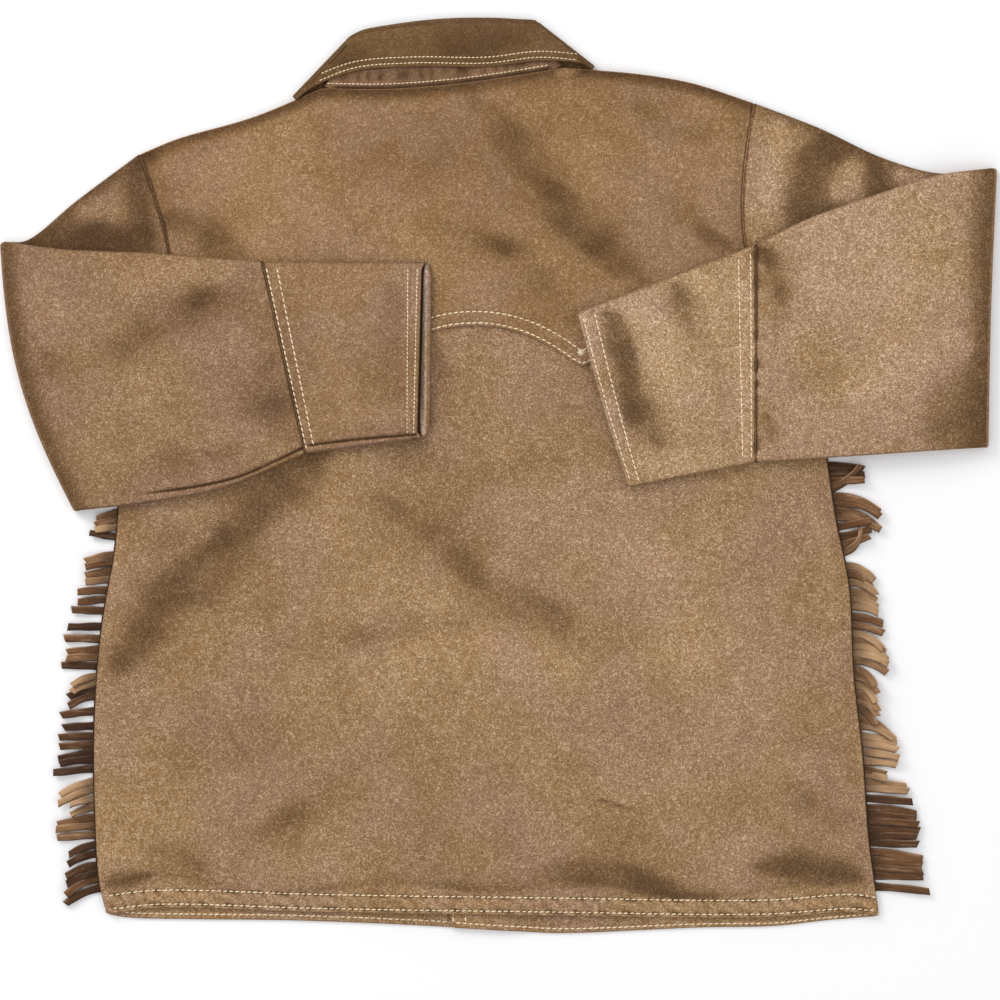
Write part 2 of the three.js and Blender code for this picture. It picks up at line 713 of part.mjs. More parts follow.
for (const side of ['left', 'right']) {
  add(`sleeve_${side}`, flatTube(sleeveStations(SLEEVES[side])), cloth(SUEDE));
  add(`cuff_${side}`, flatTube(cuffStations(SLEEVES[side])), cloth(SUEDE));
}

// ------------------------------------------------------------------ collar
// The collar goes round the neck as a flattened ring: its front half lies under and inside the
// fronts, it turns at each side of the neck, and its back half shows on top.
const COLLAR_SIDE = {
  left: { roll: { x: -130.5, y: 369 }, edge: { x: -174.5, y: 323 } },
  right: { roll: { x: 34.5, y: 385 }, edge: { x: 81.2, y: 348.6 } },
};
const ROLL_BACK = [
  { x: -118, y: 377 },
  { x: -94, y: 382 },
  { x: -50, y: 387.2 },
  { x: -10, y: 388.3 },
  { x: 14, y: 387.4 },
];
const LEAF_EDGE_BACK = [
  { x: -156, y: 331 },
  { x: -121, y: 343.8 },
  { x: -75, y: 347.7 },
  { x: -10, y: 347.7 },
  { x: 35, y: 352.5 },
  { x: 72, y: 349.8 },
];
const ROLL_FRONT = {
  left: [{ x: -22.6, y: 263 }, { x: -62, y: 275 }, { x: -92, y: 302 }, { x: -115, y: 338 }],
  right: [{ x: -21.4, y: 263 }, { x: 12, y: 280 }, { x: 30, y: 312 }, { x: 36, y: 350 }],
};
const LEAF_EDGE_FRONT = {
  left: [{ x: -60, y: 188 }, { x: -108, y: 208 }, { x: -147, y: 245 }, { x: -168, y: 288 }],
  right: [{ x: 16, y: 190 }, { x: 60, y: 212 }, { x: 90, y: 252 }, { x: 95, y: 305 }],
};
const LEAF_BACK_Z = 8.0; // middle of the fall's wall, where it lies on the stand
const STAND_BACK_Z = 5.8;
const STAND_FRONT_Z = COLLAR_LIFT + COLLAR_CLOTH / 2;
const HALF_TURN = [0, 45, 90, 135, 180].map((angle) => THREE.MathUtils.degToRad(angle));
const COLLAR_FRONT_SHARES = [0, 0.3, 0.6, 0.85];
const COLLAR_BACK_STEPS = 8;
const ROLL_DIP = { depth: 1.6, share: 0.12 }; // the fall bends down along the roll line

function outFromEdge(from, to, side) {
  const along = new THREE.Vector3().subVectors(at(to), at(from)).normalize();
  const out = new THREE.Vector3().crossVectors(along, UP);
  return out.multiplyScalar(Math.sign(out.x) * side);
}

// Sections of one turn at the side of the neck, from the front's level up to the back's.
function turnSections(start, end, side, lowZ, highZ, clear) {
  const out = outFromEdge(start, end, side);
  const radius = (highZ - lowZ) / 2;
  const reach = radius + COLLAR_CLOTH / 2 + clear;
  return HALF_TURN.map((turn) => {
    const shift = out.clone().multiplyScalar(radius * Math.sin(turn) - reach);
    shift.z = lowZ + radius * (1 - Math.cos(turn));
    const normal = out.clone().multiplyScalar(Math.sin(turn)).addScaledVector(UP, -Math.cos(turn));
    return { start: at(start).add(shift), end: at(end).add(shift), normal };
  });
}

function strip(sections, shares, thickness, dip = () => 0) {
  const lay = (offset) => sections.map((section) => shares.map((share) => {
    const point = section.start.clone().lerp(section.end, share);
    point.z -= dip(share, section);
    return point.addScaledVector(section.normal, offset);
  }));
  return wall(lay(thickness / 2), lay(-thickness / 2));
}

// Sections along the front half, the turns and the back half, from the left front end to the right.
function collarSections({ front, backStart, backEnd, side, lowZ, highZ, clear }) {
  const frontHalf = (name) => {
    const start = through(front[name].start);
    const end = through(front[name].end);
    return COLLAR_FRONT_SHARES.map((t) => {
      const a = start(t);
      const b = end(t);
      return { start: at(a, lowZ), end: at(b, lowZ), normal: UP.clone().negate() };
    });
  };
  const turn = (name, sign) =>
    turnSections(side[name].start, side[name].end, sign, lowZ, highZ, clear);
  const left = turn('left', -1);
  const right = turn('right', 1);
  const [leftTop, rightTop] = [left[left.length - 1], right[right.length - 1]];
  const start = through([leftTop.start, ...backStart, rightTop.start]);
  const end = through([leftTop.end, ...backEnd, rightTop.end]);
  const back = steps(COLLAR_BACK_STEPS).slice(1, -1).map((t) => ({
    start: at(start(t), highZ),
    end: at(end(t), highZ),
    normal: UP.clone(),
    back: true,
  }));
  return [
    ...frontHalf('left'),
    ...left,
    ...back,
    ...right.reverse(),
    ...frontHalf('right').reverse(),
  ];
}

const leafSections = collarSections({
  front: {
    left: { start: ROLL_FRONT.left, end: LEAF_EDGE_FRONT.left },
    right: { start: ROLL_FRONT.right, end: LEAF_EDGE_FRONT.right },
  },
  side: {
    left: { start: COLLAR_SIDE.left.roll, end: COLLAR_SIDE.left.edge },
    right: { start: COLLAR_SIDE.right.roll, end: COLLAR_SIDE.right.edge },
  },
  backStart: ROLL_BACK,
  backEnd: LEAF_EDGE_BACK,
  lowZ: COLLAR_CLOTH / 2,
  highZ: LEAF_BACK_Z,
  clear: 0,
});
const LEAF_SHARES = [0, ROLL_DIP.share, 0.35, 0.65, 1];

function rollDip(share, section) {
  return section.back ? ROLL_DIP.depth * (1 - smoothstep(share, 0, ROLL_DIP.share)) : 0;
}

add('collar_leaf', strip(leafSections, LEAF_SHARES, COLLAR_CLOTH, rollDip), cloth(COLLAR_SUEDE));

// The stand reaches from the neck seam to just short of the roll line.
const ROLL_CLEAR = 5;
const NECK_CLEAR = 0.8;
const STAND_START_Y = FRONT_NECK_Y + NECK_CLEAR + SEAM_GAP;
const STAND_SHARES = [0, 0.5, 1];
const shiftY = (rows, by) => rows.map(({ x, y }) => ({ x, y: y + by }));
const standSections = collarSections({
  front: {
    left: {
      start: [{ x: -24, y: STAND_START_Y }, { x: -70, y: 262 }, { x: -111, y: 284 }, { x: -134, y: 312 }],
      end: [{ x: -24, y: 260 }, { x: -61, y: 271 }, { x: -90, y: 300 }, { x: -112, y: 335 }],
    },
    right: {
      start: [{ x: -20, y: STAND_START_Y }, { x: 21, y: 265 }, { x: 48, y: 292 }, { x: 55, y: 322 }],
      end: [{ x: -20, y: 260 }, { x: 10, y: 278 }, { x: 27, y: 310 }, { x: 33, y: 346 }],
    },
  },
  side: {
    left: { start: { x: -150.5, y: 333.5 }, end: { x: -131, y: 364 } },
    right: { start: { x: 56, y: 351 }, end: { x: 36, y: 380 } },
  },
  backStart: shiftY([{ x: -140, y: 329 }, ...BACK_NECK.slice(1, 4), { x: 44, y: 345 }], NECK_CLEAR + 1),
  backEnd: shiftY(ROLL_BACK, -ROLL_CLEAR),
  lowZ: STAND_FRONT_Z,
  highZ: STAND_BACK_Z,
  clear: COLLAR_CLOTH + 1.2,
});
add('collar_stand', strip(standSections, STAND_SHARES, COLLAR_CLOTH), cloth(COLLAR_SUEDE));

// ------------------------------------------------------------------ fringe
// Strands of soft suede on a strip that is caught in each side seam, from underarm to hem.
// down: along the seam from the underarm; reach: how far the strands stand out;
// sweep: degrees towards the hem at the root; bend: degrees more at the tip; lift: rise of the tip.
const STRAND_PITCH = 7.7;
const STRAND_WIDTH = { root: 5.9, tip: 5.0 };
const STRAND_SHARES = [0, 0.3, 0.65, 1];
const STRAND_CLIMB = 1.9; // every other strand lies this much higher, on its neighbours
const ROOT_DEPTH = 1.5; // how far a strand's root reaches back into its backing
const BACKING = { low: 0.5, high: 2.1, proud: 1, from: 0.033, to: 0.53 };
const FRINGE = {
  left: [
    { down: 36, count: 2, reach: 23, sweep: 14, bend: 20, lift: 1 },
    { down: 51, count: 2, reach: 24, sweep: 2, bend: -8, lift: 0 },
    { down: 67, count: 4, reach: 23, sweep: 4, bend: 6, lift: 3 },
    { down: 98, count: 5, reach: 26, sweep: 2, bend: 3, lift: 1 },
    { down: 138, count: 4, reach: 30, sweep: 5, bend: 0, lift: 0 },
    { down: 170, count: 4, reach: 23, sweep: 8, bend: 22, lift: 4 },
    { down: 202, count: 4, reach: 29, sweep: 0, bend: 4, lift: 0 },
    { down: 233, count: 4, reach: 32, sweep: 7, bend: 8, lift: 0 },
    { down: 264, count: 4, reach: 27, sweep: 18, bend: 16, lift: 4 },
    { down: 295, count: 3, reach: 33, sweep: 10, bend: 8, lift: 2 },
    { down: 319, count: 5, reach: 28, sweep: 8, bend: 42, lift: 1 },
  ],
  right: [
    { down: 26, count: 4, reach: 31, sweep: 6, bend: 8, lift: 2 },
    { down: 58, count: 1, reach: 30, sweep: -8, bend: -40, lift: 4 },
    { down: 66, count: 4, reach: 39, sweep: 0, bend: 10, lift: 2 },
    { down: 97, count: 3, reach: 30, sweep: -4, bend: -55, lift: 5 },
    { down: 121, count: 5, reach: 25, sweep: 2, bend: 14, lift: 3 },
    { down: 160, count: 6, reach: 29, sweep: 3, bend: 6, lift: 2 },
    { down: 206, count: 5, reach: 21, sweep: 4, bend: 34, lift: 5 },
    { down: 245, count: 2, reach: 30, sweep: 6, bend: 28, lift: 2 },
    { down: 261, count: 4, reach: 30, sweep: 2, bend: 2, lift: 1 },
    { down: 292, count: 4, reach: 36, sweep: 3, bend: 4, lift: 1 },
    { down: 323, count: 6, reach: 43, sweep: 3, bend: 4, lift: 0 },
    { down: 370, count: 4, reach: 45, sweep: 3, bend: 5, lift: 0 },
  ],
};
const SEAM_LENGTH = { left: 377, right: 421 };

// A number from -1 to 1 that differs from strand to strand.
const vary = (k, salt) => 2 * (Math.abs(Math.sin(k * 12.9898 + salt * 78.233) * 43758.5453) % 1) - 1;

// A ribbon of four sides along a path of points, each with its sideways direction and width.
function ribbon(path) {
  const corners = path.map(({ point, side, width }) => [
    point.clone().addScaledVector(side, -width / 2),
    point.clone().addScaledVector(side, width / 2),
    point.clone().addScaledVector(side, width / 2).addScaledVector(UP, SUEDE_THONG),
    point.clone().addScaledVector(side, -width / 2).addScaledVector(UP, SUEDE_THONG),
  ]);
  const faces = [];
  for (let r = 0; r < path.length - 1; r += 1) {
    for (let k = 0; k < 4; k += 1) {
      const next = (k + 1) % 4;
      faces.push(...quad(4 * r + k, 4 * r + next, 4 * r + 4 + next, 4 * r + 4 + k));
    }
  }
  const tip = 4 * (path.length - 1);
  faces.push(...quad(3, 2, 1, 0), ...quad(tip, tip + 1, tip + 2, tip + 3));
  return solid(corners.flat(), faces);
}

function strand(seam, side, k, row, down) {
  const v = UNDERARM_V * (1 - down / SEAM_LENGTH[side]);
  const root = seam(v);
  const outward = side === 'left' ? -1 : 1;
  const reach = row.reach * (1 + 0.09 * vary(k, 1));
  const upper = k % 2;
  const path = [];
  const place = new THREE.Vector3(root.x - outward * ROOT_DEPTH, root.y, BACKING.low + 0.05);
  let angle = row.sweep + 3 * vary(k, 2);
  let gone = -ROOT_DEPTH;
  for (const share of STRAND_SHARES) {
    const stretch = lerp(-ROOT_DEPTH, reach, share) - gone;
    angle += share > 0 ? row.bend / (STRAND_SHARES.length - 1) : 0;
    const turn = THREE.MathUtils.degToRad(angle);
    const along = new THREE.Vector3(outward * Math.cos(turn), -Math.sin(turn), 0);
    place.addScaledVector(along, stretch);
    gone += stretch;
    const climb = upper * STRAND_CLIMB * smoothstep(gone, 4, reach * 0.65);
    const point = place.clone();
    point.z += climb + row.lift * share ** 2 * (0.6 + 0.4 * upper);
    const width = lerp(STRAND_WIDTH.root, STRAND_WIDTH.tip, share);
    path.push({ point, side: new THREE.Vector3(-along.y, along.x, 0), width });
  }
  return ribbon(path);
}

function fringe(side) {
  const seam = backSide[side];
  const outward = side === 'left' ? -1 : 1;
  const rows = [BACKING.from, ...LOWER_ROWS.slice(2, 8), BACKING.to].map((v) => seam(v));
  const edge = (shift, z) => rows.map(({ x, y }) => new THREE.Vector3(x + outward * shift, y, z));
  const layer = (z) => [edge(-FRINGE_INSET + SEAM_GAP, z), edge(BACKING.proud, z)];
  let body = toManifold(wall(layer(BACKING.high), layer(BACKING.low)));
  let k = 0;
  for (const row of FRINGE[side]) {
    for (let n = 0; n < row.count; n += 1) {
      body = body.add(toManifold(strand(seam, side, k, row, row.down + n * STRAND_PITCH)));
      k += 1;
    }
  }
  return fromManifold(body);
}

add('fringe_left', fringe('left'), cloth(FRINGE_SUEDE));
add('fringe_right', fringe('right'), cloth(FRINGE_SUEDE));

export default jacket;
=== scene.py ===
# %% [markdown]
# # A western jacket of brushed suede cloth, laid face down
#
# The jacket lies on its two fronts with both sleeves folded over its back. A cutter would see
# about a dozen flat pieces here: two fronts, a back, a pointed yoke, two sleeves, two deep
# cuffs, a collar of two parts and two strips of fringe. Each becomes one thin closed shell.
#
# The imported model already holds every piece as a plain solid. We load it first as a fixed frame:
# whatever we make has to lie where its solid lies, and has to say which solid it stands for.

# %% Load the fixed frame
import math

import bpy
import bmesh
import numpy as np
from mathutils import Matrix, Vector
from mathutils.bvhtree import BVHTree


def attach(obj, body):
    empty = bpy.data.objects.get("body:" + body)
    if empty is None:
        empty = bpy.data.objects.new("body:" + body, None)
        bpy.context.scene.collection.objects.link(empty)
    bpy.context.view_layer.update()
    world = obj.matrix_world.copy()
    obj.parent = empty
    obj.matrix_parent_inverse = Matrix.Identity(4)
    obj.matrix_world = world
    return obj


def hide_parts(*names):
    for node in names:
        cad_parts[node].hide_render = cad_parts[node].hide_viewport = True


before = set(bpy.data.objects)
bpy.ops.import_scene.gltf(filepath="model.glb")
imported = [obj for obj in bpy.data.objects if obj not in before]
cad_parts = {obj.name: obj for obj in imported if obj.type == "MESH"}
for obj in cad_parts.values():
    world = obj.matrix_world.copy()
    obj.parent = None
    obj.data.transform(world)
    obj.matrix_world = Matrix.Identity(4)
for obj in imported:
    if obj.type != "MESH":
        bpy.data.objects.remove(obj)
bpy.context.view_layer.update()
MM = 0.001
print("solids:", sorted(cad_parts))

# %% [markdown]
# ## Camera, light and floor
#
# A garment laid flat is looked at from straight above. A long lens from high up keeps the
# edges square to us: with a short one the thick places would lean outwards. The light is a
# large soft panel from the upper left, low enough that folds a millimetre or two high still
# throw a bright and a dark side. A weaker panel faces it, and a pale sky fills the rest.

# %% Camera, light and floor
CAMERA_HEIGHT = 4.0
VIEW_WIDTH = 0.85
VIEW_CENTRE = (0.0013, -0.0204)
SENSOR = 36.0

camera_data = bpy.data.cameras.new("camera_above")
camera_data.sensor_width = SENSOR
camera_data.lens = SENSOR * CAMERA_HEIGHT / VIEW_WIDTH
camera = bpy.data.objects.new("camera_above", camera_data)
camera.location = (*VIEW_CENTRE, CAMERA_HEIGHT)
bpy.context.collection.objects.link(camera)
bpy.context.scene.camera = camera


def soft_panel(name, place, size, watts, colour=(1, 1, 1)):
    """A square area light that looks at the middle of the jacket."""
    data = bpy.data.lights.new(name, "AREA")
    data.size = size
    data.energy = watts
    data.color = colour
    lamp = bpy.data.objects.new(name, data)
    lamp.location = place
    lamp.rotation_euler = (-Vector(place)).to_track_quat("-Z", "Y").to_euler()
    bpy.context.collection.objects.link(lamp)


soft_panel("panel_upper_left", (-1.5, 1.5, 1.3), 1.1, 30, (1.0, 0.98, 0.95))
soft_panel("panel_lower_right", (1.6, -1.4, 1.9), 1.6, 7)
sky = bpy.data.worlds.new("pale_room")
sky.use_nodes = True
sky.node_tree.nodes["Background"].inputs["Color"].default_value = (0.98, 0.98, 1.0, 1)
sky.node_tree.nodes["Background"].inputs["Strength"].default_value = 0.85
bpy.context.scene.world = sky
bpy.context.scene.view_settings.view_transform = "Standard"

# %% [markdown]
# ## Shader maths as plain expressions
#
# A procedural cloth is mostly arithmetic on noise. Written node by node it is hard to read, so
# one small class wraps a socket: `1 - mask` or `noise * 0.3` then adds the Math node by itself.
# Colours go through a Mix node, because a Math node would turn them grey.

# %% A socket that knows arithmetic
class Value:
    def __init__(self, sheet, socket):
        self.sheet, self.socket = sheet, socket

    def _math(self, operation, *others, clamp=False):
        values = {k: value for k, value in enumerate((self, *others))}
        return self.sheet.node("Math", {"operation": operation, "use_clamp": clamp}, values)

    def __add__(self, other):
        return self._math("ADD", other)

    def __sub__(self, other):
        return self._math("SUBTRACT", other)

    def __mul__(self, other):
        return self._math("MULTIPLY", other)

    def __rsub__(self, other):
        return self.sheet.node("Math", {"operation": "SUBTRACT"}, {0: other, 1: self})

    __radd__, __rmul__ = __add__, __mul__

    def clamped(self):
        return self._math("ADD", 0.0, clamp=True)

    def between(self, low, high):
        """0 below low, 1 above high and a soft step from one to the other."""
        ends = {"From Min": low, "From Max": high, "To Min": 0.0, "To Max": 1.0}
        return self.sheet.node("MapRange", {"interpolation_type": "SMOOTHSTEP"}, {0: self, **ends})


class Finish:
    """One material on a Principled shader, with a method that makes any other node."""

    def __init__(self, name, **constants):
        self.material = bpy.data.materials.new(name)
        self.material.use_nodes = True
        self.tree = self.material.node_tree
        self.shader = self.tree.nodes["Principled BSDF"]
        for socket, value in constants.items():
            self.shader.inputs[socket.replace("_", " ")].default_value = value

    def node(self, kind, settings, values, output=0):
        made = self.tree.nodes.new("ShaderNode" + kind)
        for key, value in settings.items():
            setattr(made, key, value)
        for key, value in values.items():
            self.feed(made.inputs[key], value)
        return Value(self, made.outputs[output])

    def feed(self, socket, value):
        if isinstance(value, Value):
            self.tree.links.new(value.socket, socket)
        elif value is not None:
            socket.default_value = value

    def noise(self, where, scale, detail=2.0, roughness=0.5, distortion=0.0):
        """Noise from 0 to 1. scale is how many features fit in a metre."""
        values = {"Vector": where, "Scale": scale, "Detail": detail}
        values.update({"Roughness": roughness, "Distortion": distortion})
        return self.node("TexNoise", {}, values)

    def mix(self, share, first, second, blend="MIX"):
        """A colour between two colours, or the first one darkened by the second."""
        settings = {"data_type": "RGBA", "clamp_factor": True, "blend_type": blend}
        return self.node("Mix", settings, {0: share, 6: first, 7: second}, output=2)

    def wear(self, **varying):
        for socket, value in varying.items():
            self.feed(self.shader.inputs[socket.replace("_", " ")], value)
        return self.material


def paint(red, green, blue):
    """A colour as a screen shows it, 0 to 255, as the linear colour that a shader takes."""
    return (*[((v / 255 + 0.055) / 1.055) ** 2.4 for v in (red, green, blue)], 1.0)


# %% [markdown]
# ## Brushed suede cloth
#
# The cloth is a bonded suede: a short nap over a plain backing. Close up it is a felt of light,
# worm-like flecks on a darker ground. The flecks show where the nap stands up. Brushing and
# handling lay it down in soft patches, and there the cloth turns smooth and darker, golden in
# one place and a greyish pink in the next. Light and shade are painted in too: the cloth is
# painted darker, golden and with fewer flecks, in the troughs of folds, along folded edges and
# where it turns away over an edge, and lighter on the crests of folds.
#
# All of it is noise at seven scales, from a hand's width down to a hair's. A ridged noise,
# highest where the noise crosses its own middle, gives the worm-like lines. Each mesh point
# carries its relief: 1 on the crest of a fold, -1 in a trough, and below that in a seam. The
# finish paints light and shade from it, down to a near-black painted shade in seams and gaps.

# %% Brushed suede cloth
def suede(name, golden, pinkish, middle, rosy, light, grain=1.0, seed=0.0):
    finish = Finish(
        name,
        Roughness=0.85,
        Specular_IOR_Level=0.2,
        Sheen_Weight=0.07,
        Sheen_Roughness=0.5,
        Sheen_Tint=(0.9, 0.74, 0.56, 1.0),
    )
    where = finish.node("TexCoord", {}, {}, output=3)
    where = finish.node("VectorMath", {"operation": "ADD"}, {0: where, 1: (seed, -seed, 0.37 * seed)})
    relief = finish.node("Attribute", {"attribute_name": "relief"}, {}, output=2)
    facing = finish.node("NewGeometry", {}, {}, output=1)
    facing = finish.node("SeparateXYZ", {}, {0: facing}, output=2)
    # level is 1 where the cloth faces up and 0 where it tilts away over an edge; there the flecks and light
    # tones go, a painted shade
    level = finish.node("Math", {"operation": "ABSOLUTE"}, {0: facing}).between(0.8, 0.985)

    drift = finish.noise(where, 8.0, 2.0)
    patches = finish.noise(where, 24.0, 3.0, 0.5, 0.3)
    mottle = finish.noise(where, 95.0, 3.0, 0.6)
    worms = finish.noise(where, 340.0, 1.5, 0.5, 0.9)
    grain_lines = finish.noise(where, 240.0, 2.0, 0.5, 0.6)
    nap = finish.noise(where, 900.0, 2.0, 0.6)

    # How far the nap stands up, from noise, with painted light on the crests of folds and painted shade in
    # troughs and on tilted edges
    nap_and_painted_light = (relief * 0.45 + drift * 0.6 + patches * 0.7 + mottle * 0.6 - 0.45).clamped() * level
    ridged = finish.node("Math", {"operation": "ABSOLUTE"}, {0: worms - 0.5})
    flecks = (1 - ridged.between(0.0, 0.075)) * nap.between(0.3, 0.6)
    shown = flecks * (nap_and_painted_light * 0.62 + 0.38) * grain

    # In troughs the laid nap is painted golden and darker: painted shade
    trough = (relief * -1.0).between(0.0, 0.8)
    hue = finish.noise(where, 12.0, 2.0).between(0.42, 0.6)
    laid_nap_and_trough_shade = finish.mix(hue * (1 - trough), golden, pinkish)
    tone = finish.mix(nap_and_painted_light, laid_nap_and_trough_shade, finish.mix(hue * 0.85, middle, rosy))
    cracks = 1 - finish.node("Math", {"operation": "ABSOLUTE"}, {0: grain_lines - 0.5}).between(0.0, 0.035)
    pits = (nap.between(0.56, 0.36) * 0.45 + cracks * 0.7).clamped() * (1 - flecks)
    tone = finish.mix(pits * grain * 0.8, tone, paint(100, 72, 45))
    tone = finish.mix(shown, tone, light)
    # Painted shade: the troughs of folds are darkened further, most where the noise is low
    deep = ((mottle + patches) * 0.7 - 0.7 - relief).between(0.25, 1.5)
    tone = finish.mix(deep, tone, (0.36, 0.32, 0.27, 1.0), "MULTIPLY")
    # Painted shade: a near-black brown in seam lines, along the cuff's edge and in the gap under the cuff's
    # mouth
    tone = finish.mix((relief * -1.0).between(1.35, 2.3) * 0.95, tone, paint(58, 38, 24))
    height = flecks * 0.6 + nap * 0.5 + mottle * 0.5
    normal = finish.node("Bump", {}, {"Height": height, "Strength": 0.4, "Distance": 0.0006})
    return finish.wear(Base_Color=tone, Roughness=0.9 - shown * 0.2, Normal=normal)


SUEDE_COLOURS = {
    "golden": paint(128, 93, 54),
    "pinkish": paint(134, 102, 77),
    "middle": paint(171, 135, 90),
    "rosy": paint(169, 132, 100),
    "light": paint(222, 191, 155),
}


def tinted(red, green, blue):
    """The same set of colours, with these shares of each primary in linear light."""
    shares = (red, green, blue, 1.0)
    return {name: tuple(c * s for c, s in zip(colour, shares)) for name, colour in SUEDE_COLOURS.items()}


body_suede = suede("suede", **tinted(0.9, 0.9, 0.91))
yoke_suede = suede("suede_yoke", **tinted(0.83, 0.8, 0.76), grain=0.85, seed=0.4)
# The left sleeve and cuff are painted darker and the right ones lighter: painted shade and painted light on
# the same cloth
SLEEVE_SUEDE = {
    "left": suede("suede_sleeve_left", **tinted(0.74, 0.72, 0.74), seed=0.7),
    "right": suede("suede_sleeve_right", **tinted(1.08, 1.12, 1.19), seed=1.2),
}
CUFF_SUEDE = {
    "left": suede("suede_cuff_left", **tinted(0.79, 0.77, 0.8), grain=0.9, seed=1.9),
    "right": suede("suede_cuff_right", **tinted(1.08, 1.14, 1.26), seed=2.3),
}
collar_suede = suede("suede_collar", **tinted(0.36, 0.32, 0.25), grain=0.9, seed=2.6)
stand_suede = suede("suede_stand", **tinted(0.5, 0.46, 0.5), grain=0.8, seed=3.0)
lining_suede = suede("suede_reverse", **tinted(1.2, 1.4, 2.0), grain=0.7, seed=3.3)
print("suede finishes:", [m.name for m in bpy.data.materials if m.name.startswith("suede")])

# %% [markdown]
# ## Curves and patches
#
# The pattern pieces are the ones of the solids. An outline is a smooth curve through a few
# points, asked for by its share of the length. A panel is the sheet that fills four such curves,
# as Coons worked out in the 1960s: blend the two pairs of opposite sides, and take away what
# the corners would count twice. Everything here works on whole arrays at once,
# so that a panel of fifty thousand points takes a moment. Sizes are in millimetres.

# %% Curves and patches
CLOTH = 2.0
COLLAR_CLOTH = 1.8
UP = np.array([0.0, 0.0, 1.0])


def smooth(x, low, high):
    t = np.clip((np.asarray(x, float) - low) / (high - low), 0, 1)
    return t * t * (3 - 2 * t)


def lerp(a, b, t):
    return a + (b - a) * t


def fade(t):
    """A share with a last axis added, to weigh points with."""
    return np.asarray(t, float)[..., None]


def through(rows):
    knots = np.array(rows, float)
    knots = np.vstack([2 * knots[0] - knots[1], knots, 2 * knots[-1] - knots[-2]])
    t = np.linspace(0, 1, 60, endpoint=False)[:, None]
    pieces = []
    for a, b, c, d in zip(knots, knots[1:], knots[2:], knots[3:]):
        before, here, after = (math.sqrt(np.linalg.norm(q - p)) for p, q in ((a, b), (b, c), (c, d)))
        leave = ((b - a) / before - (c - a) / (before + here) + (c - b) / here) * here
        reach = ((c - b) / here - (d - b) / (here + after) + (d - c) / after) * here
        cubic = (3 * (c - b) - 2 * leave - reach) * t**2 + (2 * (b - c) + leave + reach) * t**3
        pieces.append(b + leave * t + cubic)
    points = np.vstack([*pieces, knots[-2:-1]])
    gone = np.concatenate([[0], np.cumsum(np.linalg.norm(np.diff(points, axis=0), axis=1))])
    gone /= gone[-1]

    def at(share):
        share = np.clip(share, 0, 1)
        return np.stack([np.interp(share, gone, column) for column in points.T], axis=-1)

    return at


def chain(first, joint, second):
    def at(share):
        share = np.asarray(share, float)
        after = second((share - joint) / (1 - joint))
        return np.where(fade(share < joint) > 0, first(share / joint), after)

    return at


def coons(bottom, top, left, right):
    a, b, c, d = bottom(0.0), bottom(1.0), top(0.0), top(1.0)

    def at(u, v):
        u, v = np.broadcast_arrays(u, v)
        U, V = fade(u), fade(v)
        corners = (1 - U) * (1 - V) * a + U * (1 - V) * b + (1 - U) * V * c + U * V * d
        return bottom(u) * (1 - V) + top(u) * V + left(v) * (1 - U) + right(v) * U - corners

    return at


# %% [markdown]
# ## The cut of the body
#
# These tables are the pattern: the side seams, hems, shoulders and neck of the back and of the
# two fronts, read from the hem up and from the wearer's left to the right. An armhole is a
# straight line from underarm to shoulder, bowed into the body by a half sine wave.

# %% The cut of the body
SIDE_LEFT = [(-333, -372), (-339, -345), (-342.5, -290), (-343, -208), (-337, -130), (-325, -58), (-321, 1)]
SIDE_RIGHT = [(323.5, -374), (314.5, -311), (309, -236), (301.5, -168), (297.5, -94), (285, -30), (275, 43)]
ARMHOLE_LEFT = {"under": (-321, 1), "tip": (-304.7, 273), "bow": 37}
ARMHOLE_RIGHT = {"under": (275, 43), "tip": (216.8, 316.5), "bow": -34}
SHOULDER_LEFT = [(-304.7, 273), (-271.6, 286.5), (-207, 305), (-150, 329)]
SHOULDER_RIGHT = [(55, 346.5), (120, 341), (164, 333.6), (216.8, 316.5)]
BACK_NECK = [(-150, 329), (-94, 328.5), (-39, 332.5), (-1, 337.5), (55, 346.5)]
FRONT_NECK_LEFT = [(-150, 329), (-138, 309), (-113, 281), (-70, 260), (-22, 254), (-3, 254)]
FRONT_NECK_RIGHT = [(-41, 254), (-22, 254), (22, 263), (52, 290), (60, 320), (55, 346.5)]
BACK_HEM = [
    (-333, -372), (-291, -367.2), (-152, -370.6), (14, -373), (226, -375.4), (301, -370.8), (323.5, -374),
]
FRONT_HEM_LEFT = [(-333, -372), (-316, -375), (-258, -376.6), (-186, -377.4), (-84, -381), (-3, -385.5)]
FRONT_HEM_RIGHT = [
    (-41, -383.5), (14, -387), (55, -389), (171, -385), (236, -384), (280, -379.5), (325.5, -376),
]
UNDERARM = 0.56  # share of a panel's height at which the underarm lies
FRINGE_INSET = 5
OVERLAP = (-41, -3)  # the closing edges of the right and the left front, in X
CLOSING = {"hem": (-383.5, -385.5), "neck": 254}
NECK_U = (0.297, 0.69)


def panel_side(seam_rows, armhole, inset=0.0):
    seam = through(seam_rows)
    under, tip = np.array(armhole["under"], float), np.array(armhole["tip"], float)

    def at(v):
        v = np.asarray(v, float)
        rise = np.clip((v - UNDERARM) / (1 - UNDERARM), 0, 1)
        arm = lerp(under, tip, fade(rise)) + fade(armhole["bow"] * np.sin(math.pi * rise)) * [1, 0]
        side = np.where(fade(v < UNDERARM) > 0, seam(v / UNDERARM), arm)
        held = smooth(v, 0, 0.03) * (1 - smooth(v, 0.535, UNDERARM))
        return side + fade(inset * held) * [1, 0]

    return at


def upright(x, low, high):
    return lambda v: lerp(np.array([x, low], float), np.array([x, high], float), fade(v))


